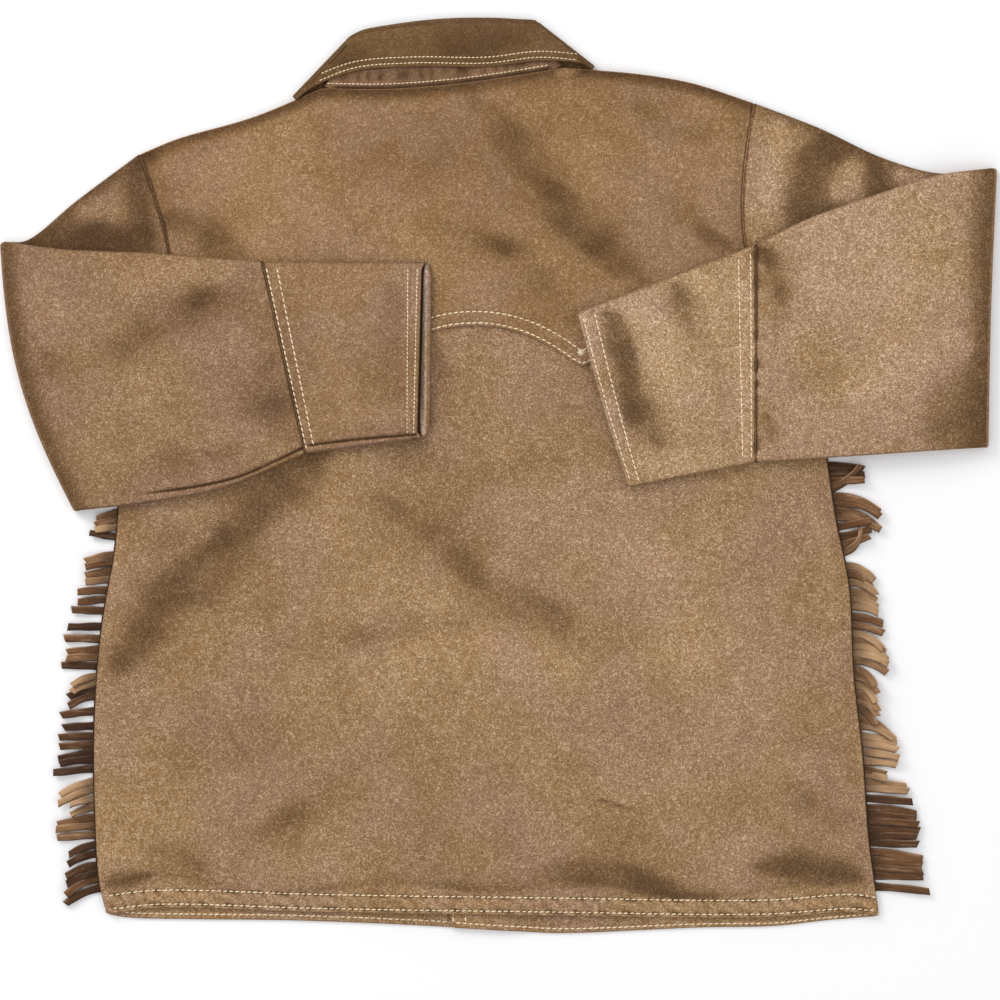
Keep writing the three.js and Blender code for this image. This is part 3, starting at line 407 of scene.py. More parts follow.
back_neck_and_shoulder = chain(
    through(BACK_NECK), (NECK_U[1] - NECK_U[0]) / (1 - NECK_U[0]), through(SHOULDER_RIGHT)
)
back_cut = coons(
    through(BACK_HEM),
    chain(through(SHOULDER_LEFT), NECK_U[0], back_neck_and_shoulder),
    panel_side(SIDE_LEFT, ARMHOLE_LEFT),
    panel_side(SIDE_RIGHT, ARMHOLE_RIGHT),
)
front_left_cut = coons(
    through(FRONT_HEM_LEFT),
    chain(through(SHOULDER_LEFT), 0.52, through(FRONT_NECK_LEFT)),
    panel_side(SIDE_LEFT, ARMHOLE_LEFT, FRINGE_INSET),
    upright(OVERLAP[1], CLOSING["hem"][1], CLOSING["neck"]),
)
front_right_cut = coons(
    through(FRONT_HEM_RIGHT),
    chain(through(FRONT_NECK_RIGHT), 0.4, through(SHOULDER_RIGHT)),
    upright(OVERLAP[0], CLOSING["hem"][0], CLOSING["neck"]),
    panel_side(SIDE_RIGHT, ARMHOLE_RIGHT, -FRINGE_INSET),
)

# %% [markdown]
# ## How the cloth lies
#
# Laid cloth is never flat. It rides over what is under it, such as the collar and the fronts'
# overlap, it lifts a little between its seams, and handling leaves long shallow folds in it. A
# simulation would find some drape, but not this one, so the folds are listed one by one: each is a
# line with a width and a height, and a smooth bump falls off from it. Bending the lines with
# slow waves keeps them from looking ruled. Short folds lie on top of broad ones.

# %% Broad folds, short folds and the unevenness between
BODY_FOLDS = [  # x1, y1, x2, y2, width, height
    (-150, 20, -310, -150, 34, -1.2), (-100, 45, 60, -70, 30, -1.1), (-180, -40, -30, -110, 34, 1.3),
    (0, -20, 120, -95, 32, 1.2), (-120, -58, -20, -52, 26, -0.9), (-190, -180, 70, -165, 36, 1.4),
    (-120, -175, -270, -240, 34, -1.1), (130, -60, 220, -230, 40, 1.3), (230, -330, 310, -318, 20, -1.2),
    (60, -338, 160, -338, 22, -0.9), (-320, -318, -270, -300, 20, 1.2), (-60, 300, 90, 190, 30, -0.9),
    (60, 290, 150, 215, 28, 1.1), (-220, 270, -140, 215, 30, 1.0),
]
BODY_CREASES = [
    (-27, 320, 52, 241, 13, -1.2), (52, 241, 118, 168, 14, -1.4), (46, 309, 120, 258, 11, -0.7),
    (92, 262, 199, 203, 9, -1.2), (86, 275, 171, 218, 9, 0.8), (114, 309, 171, 297, 12, -0.8),
    (-56, 218, 7, 195, 13, -0.8), (7, 195, 58, 133, 14, -0.9), (-294, 262, -281, 201, 11, -1.3),
    (-271, 212, -220, 195, 12, -1.1), (-152, 20, -237, -49, 18, -1.0), (-237, -49, -316, -156, 18, -1.1),
    (-101, -26, -27, -77, 13, -1.1), (-27, -77, 58, -132, 15, -1.1), (-124, -138, -24, -126, 12, -0.9),
    (-73, -105, -39, -111, 11, 0.8), (-107, -168, -5, -140, 14, 0.9), (-5, -140, 63, -168, 14, 0.9),
    (-124, -253, -197, -304, 15, -0.9), (-328, -346, -288, -345, 7, -1.1), (-296, -322, -252, -337, 8, -1.2),
    (38, -340, 188, -348, 8, -1.1), (222, -330, 307, -340, 10, -1.5), (208, -222, 285, -234, 11, -1.0),
    (239, -277, 300, -296, 11, -0.9), (56, -275, 118, -287, 3.2, -0.6), (60, -270, 115, -281, 3.5, 0.45),
    (-160, 245, -60, 262, 26, -0.4), (-58, 112, -47, 70, 9, -0.8), (-30, 88, 40, 20, 8, -0.35),
]


BODY_NAP_AND_SHADE = [  # where the cloth is painted darker or lighter with no fold: nap patches, and painted shade and shadow lines such as the one along the hem's upper stitch row
    (-322, -40, -280, -55, 18, -0.6), (-237, -66, -322, -162, 30, -0.25), (-16, -88, 86, -151, 26, -0.3),
    (-312, -92, -220, -56, 24, -0.3), (-300, -10, -180, -8, 12, -0.3), (-60, 20, -120, -20, 20, -0.3),
    (-84, -151, -4, -134, 14, 0.35), (120, -80, 250, -240, 60, 0.35), (60, -200, 150, -260, 50, 0.2),
    (245, -270, 279, -290, 14, -0.3), (234, -262, 200, -326, 12, 0.4), (266, -20, 288, -162, 9, 0.5),
    (52, 318, 143, 246, 10, 0.4), (212, 290, 222, 235, 9, 0.5), (-262, 240, -240, 190, 24, -0.4),
    (-152, 300, -60, 250, 40, -0.3), (-106, 234, -61, 183, 18, 0.4), (-45, 90, -40, 35, 14, -0.4),
    (0, 110, 10, 30, 20, 0.3), (30, 110, 70, 60, 20, -0.3), (-203, -304, -163, -262, 14, -0.35),
    (46, 341, 58, 340, 4.5, 1.3), (63, 348, 68, 339, 2.2, -2.2), (-300, -346, 290, -352, 4, -0.8),
    (78, -277, 112, -285, 2.0, -1.6), (80, -273, 114, -280, 2.4, 0.6), (70, -300, 140, -318, 14, -0.35),
    (-80, -338, 20, -342, 10, -0.4), (100, -336, 150, -341, 7, -0.6), (250, -336, 314, -345, 13, -0.9),
    (-326, -350, -292, -347, 6, -0.9), (88, 292, 205, 200, 7, -0.55), (62, 306, 160, 216, 6, -0.4),
    (-6, 312, 66, 252, 6, -0.4), (118, 262, 196, 196, 5, -0.45), (104, 300, 186, 250, 6, 0.4),
    (30, 236, 100, 170, 7, -0.35), (-40, 218, 26, 190, 8, -0.35), (-120, -150, -60, -136, 16, -0.5),
    (60, -140, 120, -130, 22, -0.25), (-10, -60, 50, -110, 8, 0.25), (120, -345, 190, -350, 5, -0.6),
]


def bend(x, y):
    """Slow waves that carry a straight line off its course."""
    across = 5 * np.sin(y / 31 + 0.7) + 3 * np.sin(x / 19 + y / 47)
    along = 5 * np.sin(x / 29 + 1.9) + 3 * np.sin(y / 17 - x / 53)
    return x + across, y + along


def folds(rows, x, y, spread=1.0):
    x, y = bend(x, y)
    height = np.zeros_like(x)
    for x1, y1, x2, y2, width, rise in rows:
        along = ((x - x1) * (x2 - x1) + (y - y1) * (y2 - y1)) / ((x2 - x1) ** 2 + (y2 - y1) ** 2)
        near = np.clip(along, 0, 1)
        away = (x - lerp(x1, x2, near)) ** 2 + (y - lerp(y1, y2, near)) ** 2
        height += rise * np.exp(-away / (spread * width * (0.6 + 0.5 * np.sin(math.pi * near))) ** 2)
    return height


def unevenness(x, y):
    """The slight lie of soft cloth, with no line of its own."""
    slow = np.sin(x / 23 + 1.3 * np.sin(y / 37)) * np.sin(y / 29 + 1.1 * np.sin(x / 43))
    quick = np.sin(x / 9.1 + 1.7 * np.sin(y / 21)) * np.sin(y / 10.7 + 1.4 * np.sin(x / 17))
    return 0.22 * slow + 0.07 * quick


# %% [markdown]
# The layers below set how high each panel starts. These few functions are those of the solids:
# where the collar's fall lies under the fronts, and where the fronts lie on each other. Soft
# cloth holds a little air, so the back lies higher than its solid wherever no sleeve presses it.

# %% Layers under the back
LAP_GAP = 0.5
COLLAR_LIFT = COLLAR_CLOTH + 0.4
BACK_EDGE, BACK_LOWEST, BACK_PUFF, OVER_OVERLAP = 2.8, 2.7, 1.4, 5.1
LOFT = 2.0  # air between the layers
ROOM = {"pressed": 9.7, "free": 14.0}  # how high the back may reach under a sleeve and beside it
UNDER_SLEEVES = [  # the outlines, read anticlockwise, that the sleeves cover
    [(-423, 197), (-360, -31), (-302, -23), (-66, 31), (-60, 182)],
    [(423, 261), (375, 256), (67, 139), (110, -10), (416, 23)],
]


def collar_lift(x, y):
    away = np.hypot((x + 43) / 147, (y - 322) / 140)
    return 1 - smooth(away, 1.12, 1.32)


def over_overlap(x, y):
    return (1 - smooth(np.abs(x - sum(OVERLAP) / 2), 46, 110)) * (1 - smooth(y, 262, 310))


def covered(x, y):
    """1 under a sleeve, 0 a finger's width and more beside it."""
    share = np.zeros(np.shape(x))
    for corners in UNDER_SLEEVES:
        away = np.full(np.shape(x), -1e9)
        for (x1, y1), (x2, y2) in zip(corners, corners[1:] + corners[:1]):
            length = math.hypot(x2 - x1, y2 - y1)
            away = np.maximum(away, ((y2 - y1) * (x - x1) - (x2 - x1) * (y - y1)) / length)
        share = np.maximum(share, 1 - smooth(away, 4, 24))
    return share


def front_left_under(x, y):
    return COLLAR_LIFT * collar_lift(x, y)


def front_right_under(x, y):
    return COLLAR_LIFT * collar_lift(x, y) + (CLOTH + LAP_GAP) * (1 - smooth(x, 0, 32))


def back_under(u, v, lap=0.0):
    """The underside of the back, or of the yoke where it laps over it."""
    point = back_cut(u, v)
    x, y = point[..., 0], point[..., 1]
    lift = collar_lift(x, y)
    inside = smooth(np.minimum(u, 1 - u), 0, 0.16) * smooth(np.minimum(v, 1 - v), 0, 0.07)
    near_edge = smooth(np.minimum(u, 1 - u), 0, 0.02) * smooth(1 - v, 0, 0.02) * smooth(v, 0.02, 0.05)
    lie = near_edge * (folds(BODY_CREASES, x, y) + unevenness(x, y) + LOFT)
    free = BACK_EDGE + COLLAR_LIFT * lift + inside * (BACK_PUFF * (1 - lift) + folds(BODY_FOLDS, x, y)) + lie
    raised = np.maximum(free, OVER_OVERLAP + COLLAR_LIFT * lift)
    under = lerp(np.maximum(free, BACK_LOWEST), raised, over_overlap(x, y))
    room = lerp(ROOM["free"], ROOM["pressed"], covered(x, y)) - CLOTH
    above = (v - yoke_share(u)) * BACK_SPAN
    lapped = (CLOTH + LAP_GAP) * smooth(above, -26, -3) * (1 - smooth(above, YOKE_LAP + 4.5, 44))
    return np.minimum(under, room - lapped) + lap


STRONGEST_LIE = 1.2


def levelled(lie):
    """The same lie, levelling off softly at its strongest, up and down."""
    return STRONGEST_LIE * np.tanh(lie / STRONGEST_LIE)


def light_and_shade_strength(x, y):
    """From 0.3 to 1: how strongly the painted light and shade of folds shows, from place to place."""
    return 0.65 + 0.35 * np.sin(x / 13 + 1.9 * np.sin(y / 19)) * np.sin(y / 11 + 1.7 * np.sin(x / 27))


def body_relief(x, y):
    """How a point lies for the finish, which paints light and shade from it: -1 in a trough, 1 on a crest,
    -2 and less in a seam.
    """
    creases, broad, nap = folds(BODY_CREASES, x, y, 1.35), folds(BODY_FOLDS, x, y), folds(BODY_NAP_AND_SHADE, x, y)
    # The third table adds nap patches and painted shade and shadow lines that have no fold
    lie = 0.62 * creases + 0.4 * broad + 0.85 * nap
    return levelled(lie * (0.35 + 0.8 * light_and_shade_strength(x, y))) - armhole_seam_shade(x, y)


def armhole_seam_shade(x, y):
    """Painted shade along an armhole seam: 1.9 on its line, 0 beside it."""
    away = np.minimum(distance(x, y, ARMHOLE_LINES[0]), distance(x, y, ARMHOLE_LINES[1]))
    return 1.9 * np.exp(-((away / 1.2) ** 2))


ARMHOLE_LINES = [
    panel_side(SIDE_LEFT, ARMHOLE_LEFT)(np.linspace(UNDERARM, 1, 24)),
    panel_side(SIDE_RIGHT, ARMHOLE_RIGHT)(np.linspace(UNDERARM, 1, 24)),
]


# %% [markdown]
# ## A thin shell from two grids of points
#
# Each panel is a wall between an upper and a lower grid. A cut edge of soft cloth is round, so
# a half circle of small faces closes the wall along its border. The same builder closes a tube,
# where only the two ends are open. Distances to a line of stitching press a groove in the cloth.

# %% Shells, grooves and lines of stitching
def row_of(*stretches):
    """Shares from 0 to 1 in stretches of (length, step), both in millimetres."""
    ends = np.cumsum([0.0] + [length for length, _ in stretches])
    parts = [np.arange(start, start + length - 1e-6, step) for start, (length, step) in zip(ends, stretches)]
    return np.concatenate([*parts, ends[-1:]]) / ends[-1]


def outward(grid, ring):
    """For each border point, the direction in which it faces away from its panel."""
    out = np.zeros_like(grid)
    out[0] += grid[0] - grid[1]
    out[-1] += grid[-1] - grid[-2]
    if not ring:
        out[:, 0] += grid[:, 0] - grid[:, 1]
        out[:, -1] += grid[:, -1] - grid[:, -2]
    return out


def shell(name, top, bottom, ring=False, finish=body_suede, inner=None, relief=None):
    rows, columns = top.shape[:2]
    ids = np.arange(rows * columns).reshape(rows, columns)
    if ring:
        ids = np.hstack([ids, ids[:, :1]])
        loops = [ids[0], ids[-1][::-1]]
    else:
        border = [ids[0, :-1], ids[:-1, -1], ids[-1, :0:-1], ids[:0:-1, 0]]
        loop = np.concatenate(border)
        loops = [np.append(loop, loop[0])]
    faces = [np.stack([ids[:-1, :-1], ids[:-1, 1:], ids[1:, 1:], ids[1:, :-1]], -1).reshape(-1, 4)]
    count = rows * columns
    faces.append(faces[0][:, ::-1] + count)
    points = [top.reshape(-1, 3), bottom.reshape(-1, 3)]
    middle = (points[0] + points[1]) / 2
    normal = (points[0] - points[1]) / 2
    out = outward(middle.reshape(top.shape), ring).reshape(-1, 3)
    made = 2 * count
    for loop in loops:
        edge = loop[:-1]
        radius = np.linalg.norm(normal[edge], axis=1, keepdims=True)
        away = out[edge] - normal[edge] * (np.sum(out[edge] * normal[edge], 1, keepdims=True) / radius**2)
        away /= np.linalg.norm(away, axis=1, keepdims=True)
        above = loop
        for turn in (math.radians(42), 0.0, math.radians(-42)):
            points.append(middle[edge] + normal[edge] * math.sin(turn) + away * radius * math.cos(turn))
            below = np.append(np.arange(made, made + len(edge)), made)
            faces.append(np.stack([above[:-1], above[1:], below[1:], below[:-1]], -1)[:, ::-1])
            above, made = below, made + len(edge)
        faces.append(np.stack([above[:-1], above[1:], loop[1:] + count, loop[:-1] + count], -1)[:, ::-1])
    piece = mesh_piece(name, np.vstack(points), np.vstack(faces), finish)
    if inner:
        piece.data.materials.append(inner)
        which = np.zeros(len(piece.data.polygons), int)
        which[len(faces[0]):2 * len(faces[0])] = 1
        piece.data.polygons.foreach_set("material_index", which)
    if relief is not None:
        values = np.zeros(len(piece.data.vertices))
        values[:2 * count] = np.tile(relief.ravel(), 2)
        piece.data.attributes.new("relief", "FLOAT", "POINT").data.foreach_set("value", values)
    return piece


def mesh_piece(name, points, faces, finish):
    """A smooth-shaded object from points in millimetres, its faces turned outwards."""
    mesh = bpy.data.meshes.new(name)
    faces = faces.tolist() if isinstance(faces, np.ndarray) else faces
    mesh.from_pydata((np.asarray(points) * MM).tolist(), [], faces)
    fixer = bmesh.new()
    fixer.from_mesh(mesh)
    bmesh.ops.recalc_face_normals(fixer, faces=fixer.faces)
    fixer.to_mesh(mesh)
    fixer.free()
    mesh.polygons.foreach_set("use_smooth", [True] * len(mesh.polygons))
    mesh.materials.append(finish)
    piece = bpy.data.objects.new(name, mesh)
    bpy.context.collection.objects.link(piece)
    print(f"{name}: {2 * len(mesh.polygons)} triangles")
    return piece


def distance(x, y, line):
    """How far each point is from a line of points, in the plane."""
    away = np.full(np.shape(x), 1e9)
    for (x1, y1), (x2, y2) in zip(line[:-1], line[1:]):
        length = max((x2 - x1) ** 2 + (y2 - y1) ** 2, 1e-9)
        near = np.clip(((x - x1) * (x2 - x1) + (y - y1) * (y2 - y1)) / length, 0, 1)
        away = np.minimum(away, (x - lerp(x1, x2, near)) ** 2 + (y - lerp(y1, y2, near)) ** 2)
    return np.sqrt(away)


def grooves(x, y, lines, depth=0.55, width=1.3, pucker=0.22):
    """Stitches pull a groove in the cloth, and pucker it a little across."""
    height = np.zeros(np.shape(x))
    for line in lines:
        low, high = line.min(0) - 12, line.max(0) + 12
        near = (x > low[0]) & (x < high[0]) & (y > low[1]) & (y < high[1])
        away = distance(x[near], y[near], line)
        wave = np.sin((x[near] + y[near]) / 2.3 + 1.9 * np.sin((x[near] - y[near]) / 7.9))
        height[near] += pucker * wave * np.exp(-((away / 5.5) ** 2)) - depth * np.exp(-((away / width) ** 2))
    return height


def resampled(line, count):
    return through(line)(np.linspace(0, 1, count))


def beside(line, distance_left):
    """A line this far to the left of another, going along it."""
    along = np.gradient(line, axis=0)
    along /= np.linalg.norm(along, axis=1, keepdims=True)
    return line + distance_left * np.stack([-along[:, 1], along[:, 0]], 1)


# %% [markdown]
# ## The back and its yoke
#
# The back is cut straight across under the yoke; the yoke lies on it with two points, an arch
# between them, and a rise to each armhole. Both are laid from the same patch, so their columns
# match: a column of the yoke starts on the very place where the back's column runs under it.
# Rows are close together where stitching will press its grooves, and wide apart elsewhere.

# %% The yoke's edge
YOKE = {"middle": -20, "top": 127.2, "half_span": 91, "point": 89.5, "bow": 2.1, "rise": 66, "run": 75}
YOKE_LAP = 12
BACK_SPAN = 672
POINT_ROUNDING = {"lift": 2.4, "width": 6.0}  # how the yoke's two points are rounded off


def yoke_edge(x):
    out = np.abs(np.asarray(x, float) - YOKE["middle"])
    arch = YOKE["top"] - (YOKE["top"] - YOKE["point"]) * (out / YOKE["half_span"]) ** YOKE["bow"]
    climb = YOKE["point"] + YOKE["rise"] * (1 - np.exp(np.minimum(YOKE["half_span"] - out, 0) / YOKE["run"]))
    sharp = np.where(out < YOKE["half_span"], arch, climb)
    tip = (out - YOKE["half_span"]) / POINT_ROUNDING["width"]
    return sharp + POINT_ROUNDING["lift"] * np.exp(-(tip**2))


def yoke_share(u):
    low, high = np.full(np.shape(u), UNDERARM), np.full(np.shape(u), 0.95)
    for _ in range(30):
        middle = (low + high) / 2
        point = back_cut(u, middle)
        below = point[..., 1] < yoke_edge(point[..., 0])
        low, high = np.where(below, middle, low), np.where(below, high, middle)
    return low


body_columns = np.sort(np.append(row_of((6, 1.0), (654, 3.0), (6, 1.0)), NECK_U))
body_columns = body_columns[np.insert(np.diff(body_columns) > 5e-4, 0, True)]
body_columns[0], body_columns[-1] = 0.0015, 0.9985
edge_shares = yoke_share(body_columns)
print("columns across the back:", len(body_columns))


def laid(cut, under, u, v):
    """Upper and lower points of a panel at the given shares."""
    point = cut(u, v)
    return np.dstack([point, under + CLOTH]), np.dstack([point, under])


# %% The back
HEM_CORNER = 7.0


def rounded_corners(grid, u, hem_y):
    """Pulls the two corners of a hem in, along a quarter circle."""
    up = np.clip(grid[..., 1] - hem_y, 0, HEM_CORNER)
    pull = HEM_CORNER - np.sqrt(HEM_CORNER**2 - (HEM_CORNER - up) ** 2)
    grid[..., 0] += pull * ((1 - smooth(u, 0, 0.05)) - smooth(u, 0.95, 1))


hem_line = through(BACK_HEM)(np.linspace(0.006, 0.994, 90))
hem_rows = [beside(hem_line, 3.4), beside(hem_line, 15.3)]
hem_rows[0][0], hem_rows[0][-1] = hem_rows[0][0] + [2.0, 1.5], hem_rows[0][-1] + [-2.0, 1.5]
shares = row_of((22, 0.9), (BACK_SPAN * 0.72, 3.3))
top_share = fade(edge_shares) + YOKE_LAP / BACK_SPAN
u, v = np.broadcast_arrays(body_columns[:, None], 0.0016 + (top_share - 0.0016) * shares[None, :])
point = back_cut(u, v)
dents = grooves(point[..., 0], point[..., 1], hem_rows, 0.6, 1.4, 0.4)
band = 0.5 * np.exp(-(((point[..., 1] - through(BACK_HEM)(u)[..., 1] - 9.3) / 4.5) ** 2))
top, bottom = laid(back_cut, back_under(u, v) + dents + band, u, v)
hem_gap = point[..., 1] - through(BACK_HEM)(u)[..., 1]
relief = body_relief(point[..., 0], point[..., 1])
# Near the hem the stitch grooves are painted darker, a painted shade, and the rest of the band a little
# lighter, a painted light
hemmed = np.maximum(0.3 + 2.1 * dents + 0.3 * relief, -STRONGEST_LIE)
relief = lerp(relief, hemmed, 1 - smooth(hem_gap, 15.5, 17.5))
for grid in (top, bottom):
    rounded_corners(grid, u, through(BACK_HEM)(u)[..., 1])
lower_back = shell("lower_back", top, bottom, relief=relief)


# %% The yoke
arch_x = np.linspace(YOKE["middle"] - 150, YOKE["middle"] + 150, 220)
arch = np.stack([arch_x, yoke_edge(arch_x)], 1)


def offset_within(line, gap):
    """A line this far above another, that keeps its distance where the other turns."""
    moved = beside(line, gap)
    keep = np.array([np.min(np.hypot(*(line - p).T)) > gap - 0.25 for p in moved])
    return resampled(moved[keep], 160)


yoke_rows = [offset_within(arch, 2.6), offset_within(arch, 12.2)]
shares = row_of((20, 0.9), (240, 3.2))
start = fade(edge_shares) + 0.0015
u, v = np.broadcast_arrays(body_columns[:, None], start + (0.9985 - start) * shares[None, :])
above = (v - fade(edge_shares)) * BACK_SPAN
point = back_cut(u, v)
dents = grooves(point[..., 0], point[..., 1], yoke_rows)
lap = (CLOTH + LAP_GAP) * (1 - smooth(above, YOKE_LAP + 4.5, 44))
top, bottom = laid(back_cut, back_under(u, v, lap) + dents, u, v)
# The relief drops along the yoke's top edge, so the cloth is painted darker there
shoulder = 1.1 * (1 - smooth(1 - v, 0.002, 0.026))
relief = body_relief(point[..., 0], point[..., 1]) - shoulder
back_yoke = shell("back_yoke", top, bottom, finish=yoke_suede, relief=relief)

# %% [markdown]
# ## The fronts
#
# From behind, only the hem of the fronts shows, a finger's width below the back's hem. They are
# still whole panels, because the jacket is looked at from the side too, and its edge is the
# edge of every layer. Their upper face is the inside of the hem, turned up and stitched.

# %% The fronts
def front(name, cut, under, hem_rows, columns):
    rows = row_of((14, 0.9), (645, 5.0))
    u, v = np.meshgrid(columns, 0.0015 + 0.997 * rows, indexing="ij")
    point = cut(u, v)
    x, y = point[..., 0], point[..., 1]
    inner_low = under(x, y)
    dents = grooves(x, y, hem_rows, depth=0.35, pucker=0.08)
    top = np.dstack([point, inner_low + CLOTH + dents])
    return shell(name, top, np.dstack([point, inner_low]), relief=np.zeros_like(x))


def front_hem_row(rows, shift=4.4):
    return beside(through(rows)(np.linspace(0.012, 0.995, 60)), shift)


front_rows_left = [front_hem_row(FRONT_HEM_LEFT)]
placket = [np.array([[OVERLAP[0] + inset, -379.0], [OVERLAP[0] + inset, -367.0]]) for inset in (2.5, 13.0)]
front_rows_right = [front_hem_row(FRONT_HEM_RIGHT)]
across = np.linspace(0.002, 0.998, 80)
left_front = front("left_front", front_left_cut, front_left_under, front_rows_left, across)
right_front = front("right_front", front_right_cut, front_right_under, front_rows_right + placket, across)

# %% [markdown]
# ## Sleeves and cuffs
#
# A sleeve is one tube. It leaves the armhole flat on the floor, turns over at its fold, and comes
# back across the body. We loft it: a row of flattened rings, each with two straight walls and two
# tight turns, laid along the sleeve. Round the fold the rings themselves turn over. A cuff is
# such a tube too, a little fuller, and the left one gapes at its mouth because its upper wall
# puffs up and its lower rim reaches out further than its upper one.

# %% Rings of a flattened tube
TUBE_HALF = CLOTH / 2 + 0.4
UPPER_LAYER, PUFFED = 9.4, 14  # heights from which a wall is the folded-over one, and a raised one
TURN = np.radians(np.linspace(0, 180, 8)[1:-1])


def swell(share):
    """How a wall rises from its two edges: quickly at first, then flat."""
    return 1 - np.abs(2 * share - 1) ** 5


def unit(vector):
    vector = np.asarray(vector, float)
    return vector / np.linalg.norm(vector)


def ring(station, offset, walls):
    """One ring of a tube. Its first wall lies on the inside of the fold, its second outside."""
    p, q, n = station["p"], station["q"], station["n"]
    half = station.get("half", TUBE_HALF)
    across = q - p
    length = np.linalg.norm(across)
    across = across / length
    margin = half + CLOTH / 2

    def place(a, b, raised=0.0):
        share = np.clip(a / length, 0, 1)
        point = p + fade(a) * across + fade(b) * n + fade(np.sin(math.pi * share)) * station["bow"]
        if "lean" in station:
            reach = np.interp(share, (0, 1), station["lean"]) * np.clip((b + raised) / half, -1, 1)
            rounded = 1 - 0.8 * np.abs(2 * share - 1) ** 14
            point = point + fade(np.where(reach > 0, reach * rounded, reach)) * station["path"]
        return point

    run = lerp(margin, length - margin, walls)
    rise = swell(walls)
    radius = half + offset
    x, y, _ = place(run, 0 * run).T
    inner, outer = (station[side](x, y) if side in station else 0 * x for side in ("lie_in", "lie_out"))
    dents = station["dents"](x, y) if "dents" in station else 0 * x
    high_in = radius + station["crown_in"] * rise + rise * inner
    high_out = radius + np.maximum(station["crown_out"] * rise + rise * outer, -0.3) + dents
    return np.vstack([
        place(run, high_in, -rise * inner),
        place(run[-1] + radius * np.sin(TURN), radius * np.cos(TURN)),
        place(run[::-1], -high_out[::-1]),
        place(run[0] - radius * np.sin(TURN), -radius * np.cos(TURN)),
    ])


def flat_tube(name, stations, walls, finish, relief):
    outer = np.array([ring(station, CLOTH / 2, walls) for station in stations])
    inside = np.array([ring(station, -CLOTH / 2, walls) for station in stations])
    depth = relief(*np.moveaxis(outer, -1, 0))
    return shell(name, outer, inside, ring=True, finish=finish, inner=lining_suede, relief=depth)


# %% The cut and the lie of the sleeves
SLEEVE_REST = 10.2
FOLD_RADIUS = TUBE_HALF + CLOTH / 2 + 0.4
FOLD_REACH = FOLD_RADIUS + TUBE_HALF + CLOTH / 2
CUFF_SLACK = 0.3
